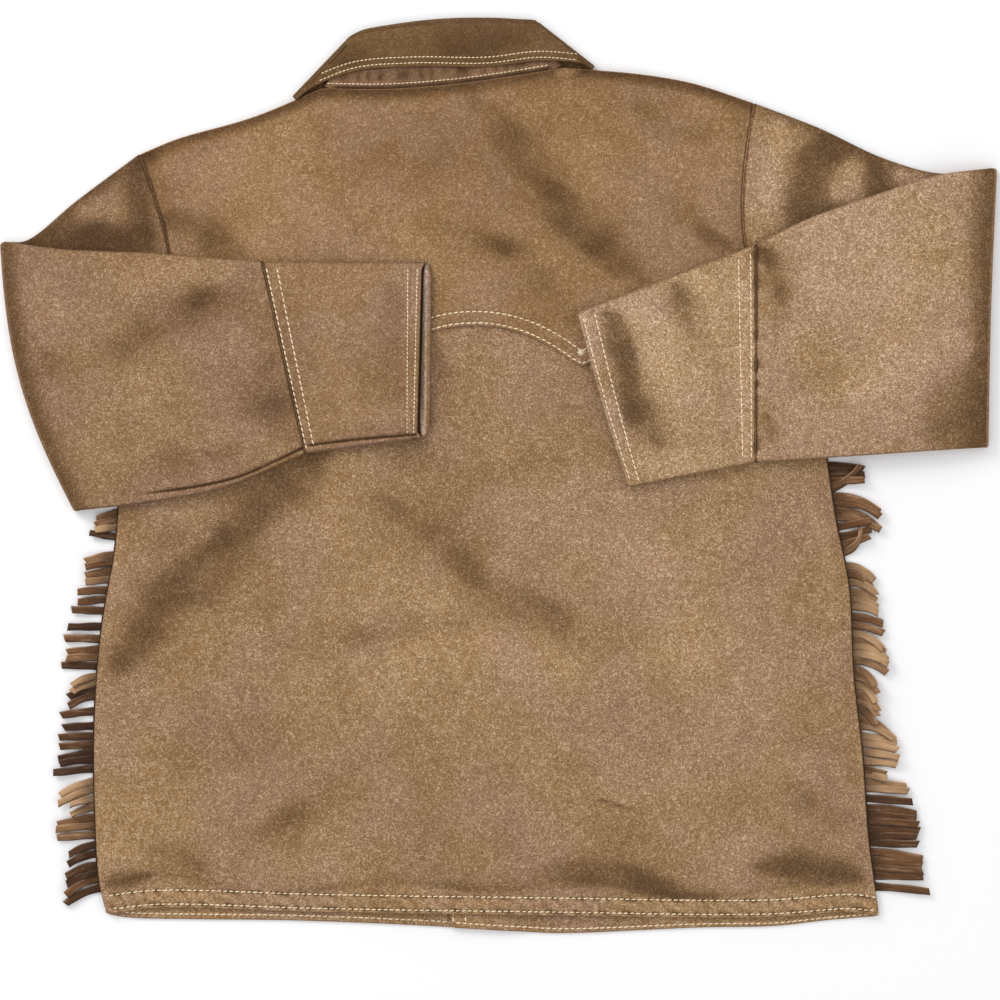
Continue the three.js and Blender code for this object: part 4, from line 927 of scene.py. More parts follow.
# Per sleeve: the strength and width of the painted shade along its fold, then how much it puckers at its
# cuff and how dark the painted shadow line at the cuff's edge is
SLEEVES = {
    "left": {
        "armhole": ARMHOLE_LEFT, "outward": -1,
        "fold": ((-423.3, 197.5), (-360, -30.6)), "fold_bow": 15,
        "under_crown": [(-358.3, 233.8), (-401, 200)],
        "over_crown": [(-372.7, 192.5), (-287.7, 188.7), (-200.2, 181.9)],
        "over_underarm": [(-302, -23), (-234, -10.2), (-163.6, 19)],
        "cuff": ((-61.4, 181.3), (-63.9, 32)), "cuff_underarm": (-163.6, 19),
        "mouth": 5.4, "lip": 2.0, "lean": (4.4, 6.0), "cuff_bow": 0,
        "shaded_fold": (1.3, 15), "pucker_and_cuff_shadow": (0.25, 1.9),
        "creases": [
            (-200, 178, -254, 150, 14, -0.5), (-254, 150, -318, 108, 24, -0.7),
            (-330, 112, -300, 108, 18, -0.3), (-208, 74, -178, 40, 17, -0.5),
            (-250, 132, -190, 76, 34, -0.4), (-200, 100, -176, 60, 16, -0.2),
            (-330, 40, -230, 110, 24, 0.8), (-385, 108, -375, 90, 12, -0.6),
            (-320, 158, -230, 176, 11, 0.7), (-300, 20, -210, 40, 13, 0.5), (-395, 150, -370, 140, 16, 0.5),
            (-290, 10, -255, 4, 9, -0.6), (-240, 14, -215, 22, 8, -0.6), (-340, 14, -290, 12, 9, 0.6),
            (-205, 20, -180, 26, 9, 0.7), (-95, 150, -86, 64, 16, -0.5), (-150, 120, -120, 60, 13, 0.5),
            (-140, 158, -110, 160, 10, 0.3), (-150, 42, -75, 46, 8, 0.5), (-260, 75, -225, 95, 9, -0.35),
        ],
        "head": [
            (-400, 204, -296, 193, 19, -1.7), (-350, 232, -318, 222, 13, 0.7),
            (-303, 264, -291, 198, 10, -1.1), (-345, 206, -330, 222, 10, -0.6),
        ],
    },
    "right": {
        "armhole": ARMHOLE_RIGHT, "outward": 1,
        "fold": ((423.3, 261), (416, 23.8)), "fold_bow": -1.5,
        "under_crown": [(272.4, 295.5), (326.8, 270), (375.3, 257)],
        "over_crown": [(375.3, 255.5), (313.2, 236.3), (261.4, 217.6), (218, 196.2)],
        "over_underarm": [(380.4, 22.1), (280, 15.3), (217.6, 11.5)],
        "cuff": ((67.6, 138.6), (110.9, -9.4)), "cuff_underarm": (217.6, 11.5),
        "mouth": 3.0, "lip": 0.0, "lean": (0, 0), "cuff_bow": 1.5,
        "shaded_fold": (1.9, 21), "pucker_and_cuff_shadow": (0.8, 1.5),
        "creases": [
            (92, 130, 122, 52, 14, -1.35), (116, 66, 142, 28, 15, -1.2), (100, 132, 118, 70, 6, -0.5),
            (146, 164, 155, 126, 13, -0.8), (114, 130, 140, 92, 16, 0.9), (175, 165, 185, 120, 14, 0.6),
            (205, 165, 214, 20, 9, 0.6), (120, 4, 190, 20, 8, 0.7), (180, 100, 200, 60, 12, -0.4),
            (227, 196, 236, 150, 11, -0.9), (236, 150, 230, 120, 8, -0.5), (232, 48, 236, 28, 6, -0.8),
            (300, 200, 380, 90, 36, 0.6), (265, 150, 310, 160, 20, 0.5), (262, 55, 310, 72, 12, 0.5),
            (310, 72, 390, 108, 12, 0.5), (250, 62, 290, 82, 8, -0.4), (378, 84, 410, 24, 28, -1.0),
            (95, 120, 106, 88, 7, -0.6), (146, 164, 152, 132, 6, -0.3), (224, 196, 231, 176, 5, -0.8),
        ],
        "head": [
            (256, 224, 294, 278, 20, -1.4), (300, 284, 262, 262, 14, -0.9), (318, 266, 331, 238, 10, -1.5),
            (240, 205, 300, 232, 6, -0.8),
            (302, 258, 296, 238, 12, 1.2), (234, 296, 231, 232, 9, 0.9), (340, 262, 372, 256, 8, 0.5),
        ],
    },
}


def deep(point, z):
    point = np.asarray(point, float)
    return np.append(point, z)


def fold_direction(sleeve):
    across = unit(deep(sleeve["fold"][1], 0) - deep(sleeve["fold"][0], 0))
    side = np.cross(across, UP)
    return side * math.copysign(1, side[0]) * sleeve["outward"]


def lie_of(rows, height=1.0):
    """How a wall lies: the folds of one table, on the cloth's slight unevenness."""
    return lambda x, y: height * folds(rows, x, y) + 0.8 * unevenness(x + 90, y - 40)


def gathers(sleeve, x, y):
    """The sleeve sinks and puckers where it runs into its cuff."""
    pucker, _ = sleeve["pucker_and_cuff_shadow"]
    away = distance(x, y, np.array([sleeve["over_crown"][-1], sleeve["cuff_underarm"]], float))
    wave = np.sin(y / 2.7 + 2.0 * np.sin(y / 11) + 0.3 * np.sin(x / 3)) * (0.55 + 0.45 * np.sin(y / 14 + 1))
    return pucker * wave * np.exp(-((away / 8) ** 2)) - 0.9 * np.exp(-((away / 3.5) ** 2))


def relief_of(sleeve, seam=None):
    """The relief of a sleeve's cloth, from which the finish paints light and shade: its folds, the painted
    shade along its fold and the seams it ends in.
    """
    share = np.linspace(0, 1, 20)
    line = lerp(*(np.array(p, float) for p in sleeve["fold"]), fade(share))
    line = line + fade(np.sin(math.pi * share)) * sleeve["fold_bow"] * fold_direction(sleeve)[:2]
    fold_shade, width = sleeve["shaded_fold"]
    crown = np.array([sleeve["armhole"]["tip"], *sleeve["under_crown"]], float)
    cuff_edge = np.array([sleeve["over_crown"][-1], sleeve["cuff_underarm"]], float)
    mouth = np.array(sleeve["cuff"], float)

    def relief(x, y, z):
        over = folds(sleeve["creases"], x, y, 1.2) * (0.45 + 0.75 * light_and_shade_strength(x, y))
        # Painted shade along the sleeve's folded edge
        over = over - fold_shade * np.exp(-((distance(x, y, line) / width) ** 2))
        # The sleeve head lies under the fold: painted shade from its folds, over all, and deepest along its
        # crown by the armhole
        under = folds(sleeve["head"], x, y) - 0.35 - 0.9 * np.exp(-((distance(x, y, crown) / 8) ** 2))
        if seam is None or sleeve["lip"] == 0:
            # The puckers at the cuff are painted as light and shade too
            over = over + 0.9 * gathers(sleeve, x, y)
        # A painted shadow line where the cuff's edge lies over the sleeve
        ends = sleeve["pucker_and_cuff_shadow"][1] * np.exp(-((distance(x, y, cuff_edge) / 1.2) ** 2))
        lie = np.where(z > UPPER_LAYER, levelled(over) - ends, levelled(under) - armhole_seam_shade(x, y))
        if sleeve["lip"] > 0:
            # The left cuff's mouth: a painted highlight on its lower lip and a painted shadow in the gap
            # under its upper rim
            beyond = x - np.interp(-y, -mouth[:, 1], mouth[:, 0])
            lip_light_and_gap_shadow = 1.1 - 3.9 * (1 - smooth(beyond, 0.2, 1.3))
            lie = np.where((z > UPPER_LAYER) & (z < PUFFED) & (beyond > -9), lip_light_and_gap_shadow, lie)
        if seam is not None:
            # Painted shade along the left sleeve's underarm seam
            underarm_seam_shade = 1.9 * smooth(x, -318, -270) * np.exp(-((distance(x, y, seam) / 1.1) ** 2))
            lie = lie - np.where(z > 12, underarm_seam_shade, 0)
        return lie

    return relief


def sleeve_stations(sleeve, dents):
    out = fold_direction(sleeve)
    crown_end, underarm_end = (deep(p, 0) - out * FOLD_REACH for p in sleeve["fold"])
    clear = sleeve["outward"] * 1.0
    armhole = sleeve["armhole"]
    tip, under = np.array(armhole["tip"]) + [clear, 0], np.array(armhole["under"]) + [clear, 0]
    arm_bow = np.array([armhole["bow"], 0, 0], float)
    fold_bow = out * sleeve["fold_bow"]
    low = TUBE_HALF + CLOTH / 2
    rest = SLEEVE_REST + low
    under_crown = through([tip, *sleeve["under_crown"], crown_end[:2]])
    under_underarm = through([under, underarm_end[:2]])
    over_crown = through([crown_end[:2], *sleeve["over_crown"]])
    over_underarm = through([underarm_end[:2], *sleeve["over_underarm"]])
    stations = []
    for t in row_of((6, 1.0), (94, 3.2)):
        from_seam = float(smooth(t, 0, 0.2))
        stations.append({
            "p": deep(under_crown(t), low), "q": deep(under_underarm(t), low), "n": UP,
            "bow": lerp(arm_bow, fold_bow, t), "crown_in": lerp(0.9 + 1.6 * from_seam, 0.2, t),
            "crown_out": 0.0, "lie_in": lie_of(sleeve["head"], from_seam * (1 - t)),
        })
    for turn in np.radians([22.5, 45, 67.5, 90, 112.5, 135, 157.5]):
        shift = out * FOLD_RADIUS * math.sin(turn) + UP * (low + FOLD_RADIUS * (1 - math.cos(turn)))
        stations.append({
            "p": crown_end + shift, "q": underarm_end + shift,
            "n": UP * math.cos(turn) - out * math.sin(turn),
            "bow": fold_bow, "crown_in": 0.2, "crown_out": 0.2,
        })
    for t in row_of((225, 3.0), (12, 1.0)):
        height = lerp(low + 2 * FOLD_RADIUS, rest, float(smooth(t, -0.05, 0.3)))
        stations.append({
            "p": deep(over_crown(t), height), "q": deep(over_underarm(t), height), "n": -UP,
            "bow": fold_bow * (1 - float(smooth(t, 0, 0.8))),
            "crown_in": 0.0, "crown_out": lerp(0.4, 3.8, float(smooth(t, 0, 0.3))),
            "lie_out": lie_of(sleeve["creases"]), "dents": dents,
        })
    return stations


def cuff_stations(sleeve, shares, dents=lambda x, y: 0 * x):
    height = SLEEVE_REST + TUBE_HALF + CLOTH / 2
    start = [deep(sleeve["over_crown"][-1], 0), deep(sleeve["cuff_underarm"], 0)]
    end = [deep(p, 0) for p in sleeve["cuff"]]
    path = unit(end[0] + end[1] - start[0] - start[1])
    start = [p + path * 0.6 for p in start]
    stations = []
    for t in shares:
        stations.append({
            "p": lerp(start[0], end[0], t) + UP * height, "q": lerp(start[1], end[1], t) + UP * height,
            "n": -UP, "bow": path * sleeve["cuff_bow"] * t, "crown_in": 0.0,
            "crown_out": lerp(3.8, sleeve["mouth"], float(smooth(t, 0, 1))),
            "lean": [reach * t for reach in sleeve["lean"]], "half": TUBE_HALF + CUFF_SLACK, "path": path,
            "lie_in": lambda x, y, lip=sleeve["lip"] * float(smooth(t, 0.95, 0.99)): 0 * x - lip,
            "lie_out": lie_of(sleeve["creases"]), "dents": dents,
        })
    return stations


# %% Lines of stitching on the cuffs and the seam under each arm
CUFF_LENGTH = 142.0
CUFF_ROWS = {
    "left": {"seam": (1.8, 11.5), "mouth": (3.0, 11.5)},
    "right": {"seam": (3.8, 13.6), "mouth": (2.6, 12.0)},
}


def outer_line(station, low=0.02, high=0.985):
    """The line along which a station's outer wall is seen from above."""
    walls = np.linspace(low, high, 40)
    points = ring({**station, "lie_out": lambda x, y: 0 * x}, CLOTH / 2, walls)
    return points[len(walls) + len(TURN):2 * len(walls) + len(TURN)][::-1, :2]


cuff_lines = {}
for side, sleeve in SLEEVES.items():
    rows = CUFF_ROWS[side]
    wanted = [gap / CUFF_LENGTH for gap in rows["seam"]] + [1 - gap / CUFF_LENGTH for gap in rows["mouth"]]
    cuff_lines[side] = [outer_line(station) for station in cuff_stations(sleeve, wanted)]
UNDERARM_SEAM_LEFT = {
    "sleeve": [(-316, -17), (-250, -8), (-218, 0), (-190, 12), (-165, 24)],
    "cuff": [(-160, 26), (-118, 31), (-70, 35)],
}


# %% Sleeves and cuffs
made_sleeves, made_cuffs = {}, {}
for side, sleeve in SLEEVES.items():
    drawn = UNDERARM_SEAM_LEFT if side == "left" else {}
    underarm_seam = {part: resampled(line, 24) for part, line in drawn.items()}
    sleeve_seam, cuff_seam = underarm_seam.get("sleeve"), underarm_seam.get("cuff")
    pressed = list(underarm_seam.values())
    lines = cuff_lines[side]

    def sleeve_dents(x, y):
        return grooves(x, y, pressed, 1.2, 1.2, 0.1) * smooth(x, -318, -270) + gathers(sleeve, x, y)

    def cuff_dents(x, y):
        return grooves(x, y, lines, 0.5, 1.2, 0.18) + grooves(x, y, pressed, 1.2, 1.2, 0.1)

    made_sleeves[side] = flat_tube(
        f"sleeve_{side}_cloth", sleeve_stations(sleeve, sleeve_dents), row_of((196, 2.8), (24, 1.1)),
        SLEEVE_SUEDE[side], relief_of(sleeve, sleeve_seam),
    )
    made_cuffs[side] = flat_tube(
        f"cuff_{side}_cloth", cuff_stations(sleeve, row_of((18, 0.9), (108, 3.0), (16, 0.9)), cuff_dents),
        row_of((130, 2.6), (22, 1.1)), CUFF_SUEDE[side], relief_of(sleeve, cuff_seam),
    )

# %% [markdown]
# ## The collar
#
# The collar is a ring laid flat. Its front half lies under the fronts, it turns at each side
# of the neck, and its back half shows on top: a stand that rises from the neck seam, and a
# fall that rolls over it and lies face up. Both are strips lofted along sections that go round
# the neck, and the fall bends down along its roll to meet the stand.

# %% The collar's fall and stand
COLLAR_SIDE = {
    "left": {"roll": (-130.5, 369), "edge": (-174.5, 323)},
    "right": {"roll": (34.5, 385), "edge": (81.2, 348.6)},
}
ROLL_BACK = [
    (-129.4, 369.4), (-118, 377), (-94, 382), (-50, 387.2), (-10, 388.3), (14, 387.4), (33.2, 385.3),
]
STAND_ROLL_BACK = [(x, y - 5) for x, y in ROLL_BACK[1:-1]]
LEAF_EDGE_BACK = [(-156, 331), (-121, 343.8), (-75, 347.7), (-10, 347.7), (35, 352.5), (72, 349.8)]
ROLL_FRONT = {
    "left": [(-22.6, 263), (-62, 275), (-92, 302), (-115, 338)],
    "right": [(-21.4, 263), (12, 280), (30, 312), (36, 350)],
}
LEAF_EDGE_FRONT = {
    "left": [(-60, 188), (-108, 208), (-147, 245), (-168, 288)],
    "right": [(16, 190), (60, 212), (90, 252), (95, 305)],
}
STAND_FRONT = {
    "left": (
        [(-24, 255.2), (-70, 262), (-111, 284), (-134, 312)],
        [(-24, 260), (-61, 271), (-90, 300), (-112, 335)],
    ),
    "right": (
        [(-20, 255.2), (21, 265), (48, 292), (55, 322)],
        [(-20, 260), (10, 278), (27, 310), (33, 346)],
    ),
}
STAND_SIDE = {
    "left": {"roll": (-150.5, 333.5), "edge": (-131, 364)},
    "right": {"roll": (56, 351), "edge": (36, 380)},
}
STAND_BACK = [(-138, 327.8), (-94, 326.9), (-39, 331.1), (-1, 336.2), (44, 344.2)]
LEAF_BACK_Z, STAND_BACK_Z, STAND_FRONT_Z = 8.0, 5.8, COLLAR_LIFT + COLLAR_CLOTH / 2


def collar_sections(front, side, back_start, back_end, low_z, high_z, clear, back_steps):
    def flat(start, end, z, normal, back=0.0):
        return {"start": deep(start, z), "end": deep(end, z), "normal": normal, "back": back}

    def front_half(name):
        start, end = (through(rows) for rows in front[name])
        return [flat(start(t), end(t), low_z, -UP) for t in np.linspace(0, 0.85, 10)]

    def turn(name, sign):
        start, end = side[name]["roll"], side[name]["edge"]
        out = np.cross(unit(deep(end, 0) - deep(start, 0)), UP)
        out = out * math.copysign(1, out[0]) * sign
        radius = (high_z - low_z) / 2
        reach = radius + COLLAR_CLOTH / 2 + clear
        rows = []
        for angle in np.radians(np.linspace(0, 180, 9)):
            shift = out * (radius * math.sin(angle) - reach) + UP * (low_z + radius * (1 - math.cos(angle)))
            normal = out * math.sin(angle) - UP * math.cos(angle)
            row = flat(start, end, 0, normal)
            rows.append({**row, "start": row["start"] + shift, "end": row["end"] + shift})
        return rows

    left, right = turn("left", -1), turn("right", 1)
    start = through([left[-1]["start"][:2], *back_start, right[-1]["start"][:2]])
    end = through([left[-1]["end"][:2], *back_end, right[-1]["end"][:2]])
    shares = np.linspace(0, 1, back_steps)[1:-1]
    back = [flat(start(t), end(t), high_z, UP, min(t, 1 - t)) for t in shares]
    return [*front_half("left"), *left, *back, *right[::-1], *front_half("right")[::-1]]


def strip(sections, shares, lie, dents):
    """Upper and lower points of a strip across its sections."""
    rows = []
    for section in sections:
        row = lerp(section["start"], section["end"], fade(shares))
        settled = float(smooth(section["back"], 0, 0.06))
        row[:, 2] += settled * (lie(shares) + dents(row[:, 0], row[:, 1]))
        rows.append((row + section["normal"] * COLLAR_CLOTH / 2, row - section["normal"] * COLLAR_CLOTH / 2))
    return np.array([r[0] for r in rows]), np.array([r[1] for r in rows])


COLLAR_FOLDS = [
    (-120, 365, -60, 372, 9, 0.9), (-50, 360, 20, 372, 11, -0.7), (10, 366, 60, 362, 9, 0.8),
    (-140, 345, -112, 352, 8, -0.6), (-90, 352, -30, 356, 8, 0.5),
]
STAND_FOLDS = [
    (-60, 350, -48, 336, 4, 0.7), (-38, 352, -26, 338, 4, -0.6),
    (-12, 354, 0, 340, 4, 0.7), (12, 356, 20, 344, 4, -0.5),
]
leaf_line = through(LEAF_EDGE_BACK)(np.linspace(0.0, 1.0, 90))
leaf_rows = [beside(leaf_line, 2.6)[2:-2], beside(leaf_line, 7.6)[2:-2]]
neck_line = through(BACK_NECK)(np.linspace(0.02, 0.94, 70))
stand_rows = [beside(neck_line, 4.2)]

leaf = strip(
    collar_sections(
        {side: (ROLL_FRONT[side], LEAF_EDGE_FRONT[side]) for side in ROLL_FRONT},
        COLLAR_SIDE, ROLL_BACK, LEAF_EDGE_BACK, COLLAR_CLOTH / 2, LEAF_BACK_Z, 0, 96,
    ),
    row_of((7, 0.8), (25, 1.6), (11, 0.8)),
    lambda share: -2.4 * (1 - smooth(share, 0, 0.14)),
    lambda x, y: grooves(x, y, leaf_rows, 0.4, 1.1, 0.12) + folds(COLLAR_FOLDS, x, y),
)
leaf_x, leaf_y, _ = np.moveaxis(leaf[0], -1, 0)
# Painted light and shade: lighter on the crests of the fall's folds, darker in their troughs, with a slight
# ripple
leaf_relief = 0.9 * folds(COLLAR_FOLDS, leaf_x, leaf_y) + 0.6 * unevenness(2 * leaf_x, 3 * leaf_y)
collar_fall = shell("collar_fall", *leaf, finish=collar_suede, relief=leaf_relief)
stand = strip(
    collar_sections(
        STAND_FRONT, STAND_SIDE, STAND_BACK, STAND_ROLL_BACK,
        STAND_FRONT_Z, STAND_BACK_Z, COLLAR_CLOTH + 1.2, 80,
    ),
    row_of((12, 0.9), (34, 2.5)),
    lambda share: -2.7 * (1 - smooth(share, 0.02, 0.12)) + 0.6 * np.sin(math.pi * share),
    lambda x, y: grooves(x, y, stand_rows, 0.4, 1.1, 0.1) + folds(STAND_FOLDS, x, y),
)
stand_x, stand_y, _ = np.moveaxis(stand[0], -1, 0)
from_row = distance(stand_x, stand_y, stand_rows[0])
# Painted light and shade on the stand: wrinkles that are only in its colour, a painted highlight beside its
# stitch row, and the rest a little darker
puckers = np.sin(stand_x / 2.1 + 2.2 * np.sin(stand_x / 9.0)) * np.exp(-(((from_row - 4) / 5.5) ** 2))
stand_relief = 1.1 * folds(STAND_FOLDS, stand_x, stand_y) + 0.8 * puckers - 0.35
stand_relief = np.maximum(stand_relief, -0.9) + 1.1 * np.exp(-((from_row / 3.0) ** 2))
collar_stand = shell("collar_stand_cloth", *stand, finish=stand_suede, relief=stand_relief)

# %% [markdown]
# ## Fringe
#
# The side seams hold a strip of split suede, cut into strands as wide as a finger nail. They
# lie in tufts: some straight and side by side, some curled at the tip, some turned on edge.
# Every strand is a ribbon swept along its own bent path. Split suede takes the dye unevenly,
# mostly along the strand, so each mesh point carries how far out and how far across its strand
# it lies, and the finish draws its streaks in those two directions instead of in the room's.
# Each point also carries which edge of its strand faces the light: the finish paints a highlight
# on that edge and shade on the other, and paints the strands dark at the root, in the shadow of
# the body's edge.

# %% Fringe suede
def split_suede(name):
    finish = Finish(name, Roughness=0.92, Specular_IOR_Level=0.15, Sheen_Weight=0.08, Sheen_Roughness=0.5)
    where = finish.node("TexCoord", {}, {}, output=3)
    tone, along, across, light_side = (
        finish.node("Attribute", {"attribute_name": key}, {}, output=2)
        for key in ("tone", "along", "across", "light_side")
    )
    run = finish.node("CombineXYZ", {}, {"X": along * 0.04, "Y": across * 1.1})
    streaks = finish.noise(run, 1.0, 3.0, 0.6, 0.3)
    fuzz = finish.noise(where, 700.0, 2.0, 0.6)
    colour = finish.mix(tone.between(0.0, 0.5), paint(62, 40, 26), paint(114, 78, 48))
    colour = finish.mix(tone.between(0.5, 1.0), colour, paint(186, 150, 112))
    colour = finish.mix(streaks.between(0.5, 0.68) * (tone * 0.5 + 0.1), colour, paint(204, 168, 134))
    colour = finish.mix(streaks.between(0.45, 0.34) * 0.3, colour, paint(48, 30, 19))
    # Painted highlight on the strand's edge that faces the light
    colour = finish.mix(light_side.between(0.55, 0.95) * (tone * 0.4 + 0.12), colour, paint(204, 168, 134))
    # Painted shade on the edge that faces away
    colour = finish.mix((light_side * -1.0).between(0.5, 0.95) * 0.7, colour, paint(44, 28, 18))
    # Painted shadow at the root, under the body's edge
    colour = finish.mix((1 - along.between(2.0, 22.0)) * 0.65, colour, paint(46, 30, 19))
    colour = finish.mix(fuzz.between(0.5, 0.75) * (tone * 0.35 + 0.05), colour, paint(176, 138, 104))
    height = streaks * 0.7 + fuzz * 0.5
    normal = finish.node("Bump", {}, {"Height": height, "Strength": 0.5, "Distance": 0.0008})
    return finish.wear(Base_Color=colour, Normal=normal)


fringe_suede = split_suede("fringe_suede")

# %% Strands
THONG = 1.3
STRAND = {"wide": 7.2, "pitch": 6.4, "steps": 14, "inside": 1.5}
STRIP = {"from": 0.033, "to": 0.53, "inside": 4.2, "outside": 0.6, "low": 0.5, "high": 2.1}
FRINGE = {  # tufts: first and last strand's y, x of the tips, sweep and bend to the hem, lift, turn, tone
    "left": [
        (-28, -45, -343, 6, 8, 1, 0, 0.75), (-48, -54, -347, 0, -8, 1, 20, 0.15),
        (-64, -91, -351, 2, 8, 4, 0, 0.55), (-94, -107, -357, 2, 4, 2, 10, 0.5),
        (-110, -118, -363, 2, -4, 1, 0, 0.12), (-125, -132, -365, 0, 2, 1, 0, 0.12),
        (-135, -143, -368, -4, 4, 1, 0, 0.22), (-145, -156, -366, 3, 2, 2, 0, 0.45),
        (-158, -164, -371, 0, 0, 1, 10, 0.1), (-167, -178, -363, 2, 22, 5, 25, 0.7),
        (-178, -190, -367, -4, 24, 2, 0, 0.0), (-196, -203, -372, 0, 6, 1, 0, 0.1),
        (-208, -216, -370, 2, 2, 1, 0, 0.05), (-218, -231, -372, 2, 2, 1, 0, 0.05),
        (-232, -244, -373, 4, 6, 2, 0, 0.0), (-245, -253, -377, 3, 3, 1, 0, 0.2),
        (-256, -268, -375, 10, 14, 2, 0, 0.9), (-270, -284, -364, 6, 12, 5, 30, 0.95),
        (-286, -308, -375, 2, 6, 2, 0, 0.65), (-310, -324, -366, 4, 18, 3, 10, 0.15),
        (-326, -340, -369, 8, 14, 2, 0, 0.1), (-339, -353, -371, 8, 22, 1, 0, 0.15),
    ],
    "right": [
        (12, -7, 311, -2, 4, 3, 0, 0.3), (-9, -14, 314, -16, -34, 4, 30, 0.3),
        (-15, -38, 327, -8, 32, 2, 0, 0.45), (-40, -62, 317, -6, -10, 4, 0, 0.5),
        (-63, -69, 320, -6, -66, 6, 50, 0.85), (-74, -94, 323, -10, 44, 3, 0, 0.6),
        (-95, -114, 323, -6, 26, 3, 0, 0.7), (-116, -130, 328, 0, 14, 2, 0, 0.4),
        (-131, -160, 332, -8, 32, 3, 0, 0.75), (-161, -200, 327, 0, 46, 6, 20, 0.8),
        (-202, -216, 338, -6, 42, 3, 0, 0.8), (-217, -245, 339, 2, 8, 3, 0, 0.95),
        (-246, -257, 330, 4, 8, 3, 10, 0.7), (-258, -268, 347, 2, 3, 1, 0, 0.75),
        (-269, -277, 350, 2, 2, 1, 0, 0.15), (-279, -315, 356, 1, 3, 1, 0, 0.35),
        (-316, -342, 361, 2, 3, 1, 0, 0.4), (-344, -352, 365, 3, 4, 1, 0, 0.4),
    ],
}


def vary(k, salt):
    """A number from -1 to 1 that differs from strand to strand."""
    return 2 * (abs(math.sin(k * 12.9898 + salt * 78.233) * 43758.5453) % 1) - 1


def strand(root, side, k, tuft, order):
    """Rings of a strand: place, direction across, direction through, width, way gone."""
    _, _, tip_x, sweep, bend, lift, turned, _ = tuft
    outside = -1 if side == "left" else 1
    reach = abs(tip_x - root[0]) * (1.02 + 0.035 * vary(k, 1) - 0.05 * order**2) + STRAND["inside"]
    place = np.array([root[0] - outside * STRAND["inside"], root[1], 0.6])
    angle = sweep + 1.6 * vary(k, 2)
    bend = bend * (1 + 0.2 * vary(k, 4)) - 5 * order
    rings = []
    for n in range(STRAND["steps"] + 1):
        share = n / STRAND["steps"]
        heading = math.radians(angle + bend * share * 1.5 + 3 * vary(k, 3) * math.sin(4 * share))
        along = np.array([outside * math.cos(heading), -math.sin(heading), 0])
        place = place + along * (reach / STRAND["steps"] if n else 0)
        roll = math.radians((turned + 14 * vary(k, 6)) * float(smooth(share, 0.1, 0.9)))
        level = np.array([-along[1], along[0], 0])
        across = level * math.cos(roll) + UP * math.sin(roll)
        through_it = UP * math.cos(roll) - level * math.sin(roll)
        width = STRAND["wide"] * (1 - 0.12 * share + 0.05 * math.sin(9 * share + k))
        climb = (k % 3) * 1.0 * float(smooth(n * reach / STRAND["steps"], 5.5, reach * 0.6))
        height = climb + (lift * (0.7 + 0.3 * vary(k, 8))) * share**2 + abs(math.sin(roll)) * width / 2
        rings.append((place + UP * height, across, through_it, width, n * reach / STRAND["steps"], along))
    return rings


ACROSS = np.array([-0.5, -0.42, 0.0, 0.42, 0.5, 0.42, 0.0, -0.42])
THROUGH = np.array([0.5, 0.0, 0.0, 0.0, 0.5, 1.0, 1.0, 1.0])


def ribbon(rings, k):
    """Points and faces of a flat thong with round edges and a slanting cut at its tip."""
    cup = 0.5 * vary(k, 5) * (1 - (2 * ACROSS) ** 2)
    slant = 1.5 * vary(k, 9)
    points, marks = [], []
    for n, (place, across, through_it, width, gone, along) in enumerate(rings):
        share = n / (len(rings) - 1)
        cut = along * slant * share**6
        body = place + fade(ACROSS * width) * across + fade(THROUGH * THONG + cup * share) * through_it
        points.append(body + fade(2 * ACROSS) * cut)
        # 1 on the edge towards +Y and -1 on the other: which edge faces the light, for the painted highlight
        # and shade
        upper = ACROSS * 2 * np.sign(across[1])
        marks.append(np.column_stack([np.full(8, gone), ACROSS * 2 + 7.3 * k, upper]))
    points = np.vstack(points)
    points[:, 2] = np.maximum(points[:, 2], 0.1)
    ids = np.arange(len(points)).reshape(len(rings), 8)
    around = np.roll(ids, -1, axis=1)
    faces = np.stack([ids[:-1], around[:-1], around[1:], ids[1:]], -1).reshape(-1, 4).tolist()
    for first, second, third, fourth in ((0, 7, 1, 0), (1, 7, 6, 2), (2, 6, 5, 3), (3, 5, 4, 4)):
        for ring_ids, flip in ((ids[0], 1), (ids[-1], -1)):
            corners = list(dict.fromkeys([ring_ids[i] for i in (first, second, third, fourth)]))
            faces.append([int(i) for i in corners[::flip]])
    return points, faces, np.vstack(marks)


def fringe(side, seam):
    line = seam(np.linspace(UNDERARM, 0, 200))
    points, faces, marks, tones = [], [], [], []
    count = 0
    k = 0
    for tuft in FRINGE[side]:
        first, last, tone = tuft[0], tuft[1], tuft[-1]
        number = max(1, round((first - last) / STRAND["pitch"]))
        step = (first - last) / number
        for y in first - step * (np.arange(number) + 0.5):
            order = (2 * (first - y) / (first - last) - 1) * (number > 2)
            root = (np.interp(-y, -line[:, 1], line[:, 0]), y + 0.8 * vary(k, 10))
            some_points, some_faces, some_marks = ribbon(strand(root, side, k, tuft, order), k)
            faces += [[i + count for i in face] for face in some_faces]
            points.append(some_points)
            marks.append(some_marks)
            tones.append(np.full(len(some_points), np.clip(tone + 0.2 * vary(k, 7), 0, 1)))
            count += len(some_points)
            k += 1
    piece = mesh_piece(f"fringe_{side}_strands", np.vstack(points), faces, fringe_suede)
    marked = np.vstack(marks)
    for key, values in zip(("along", "across", "light_side"), marked.T):
        piece.data.attributes.new(key, "FLOAT", "POINT").data.foreach_set("value", values)
    piece.data.attributes.new("tone", "FLOAT", "POINT").data.foreach_set("value", np.concatenate(tones))
    print(f"  {k} strands")
    return piece


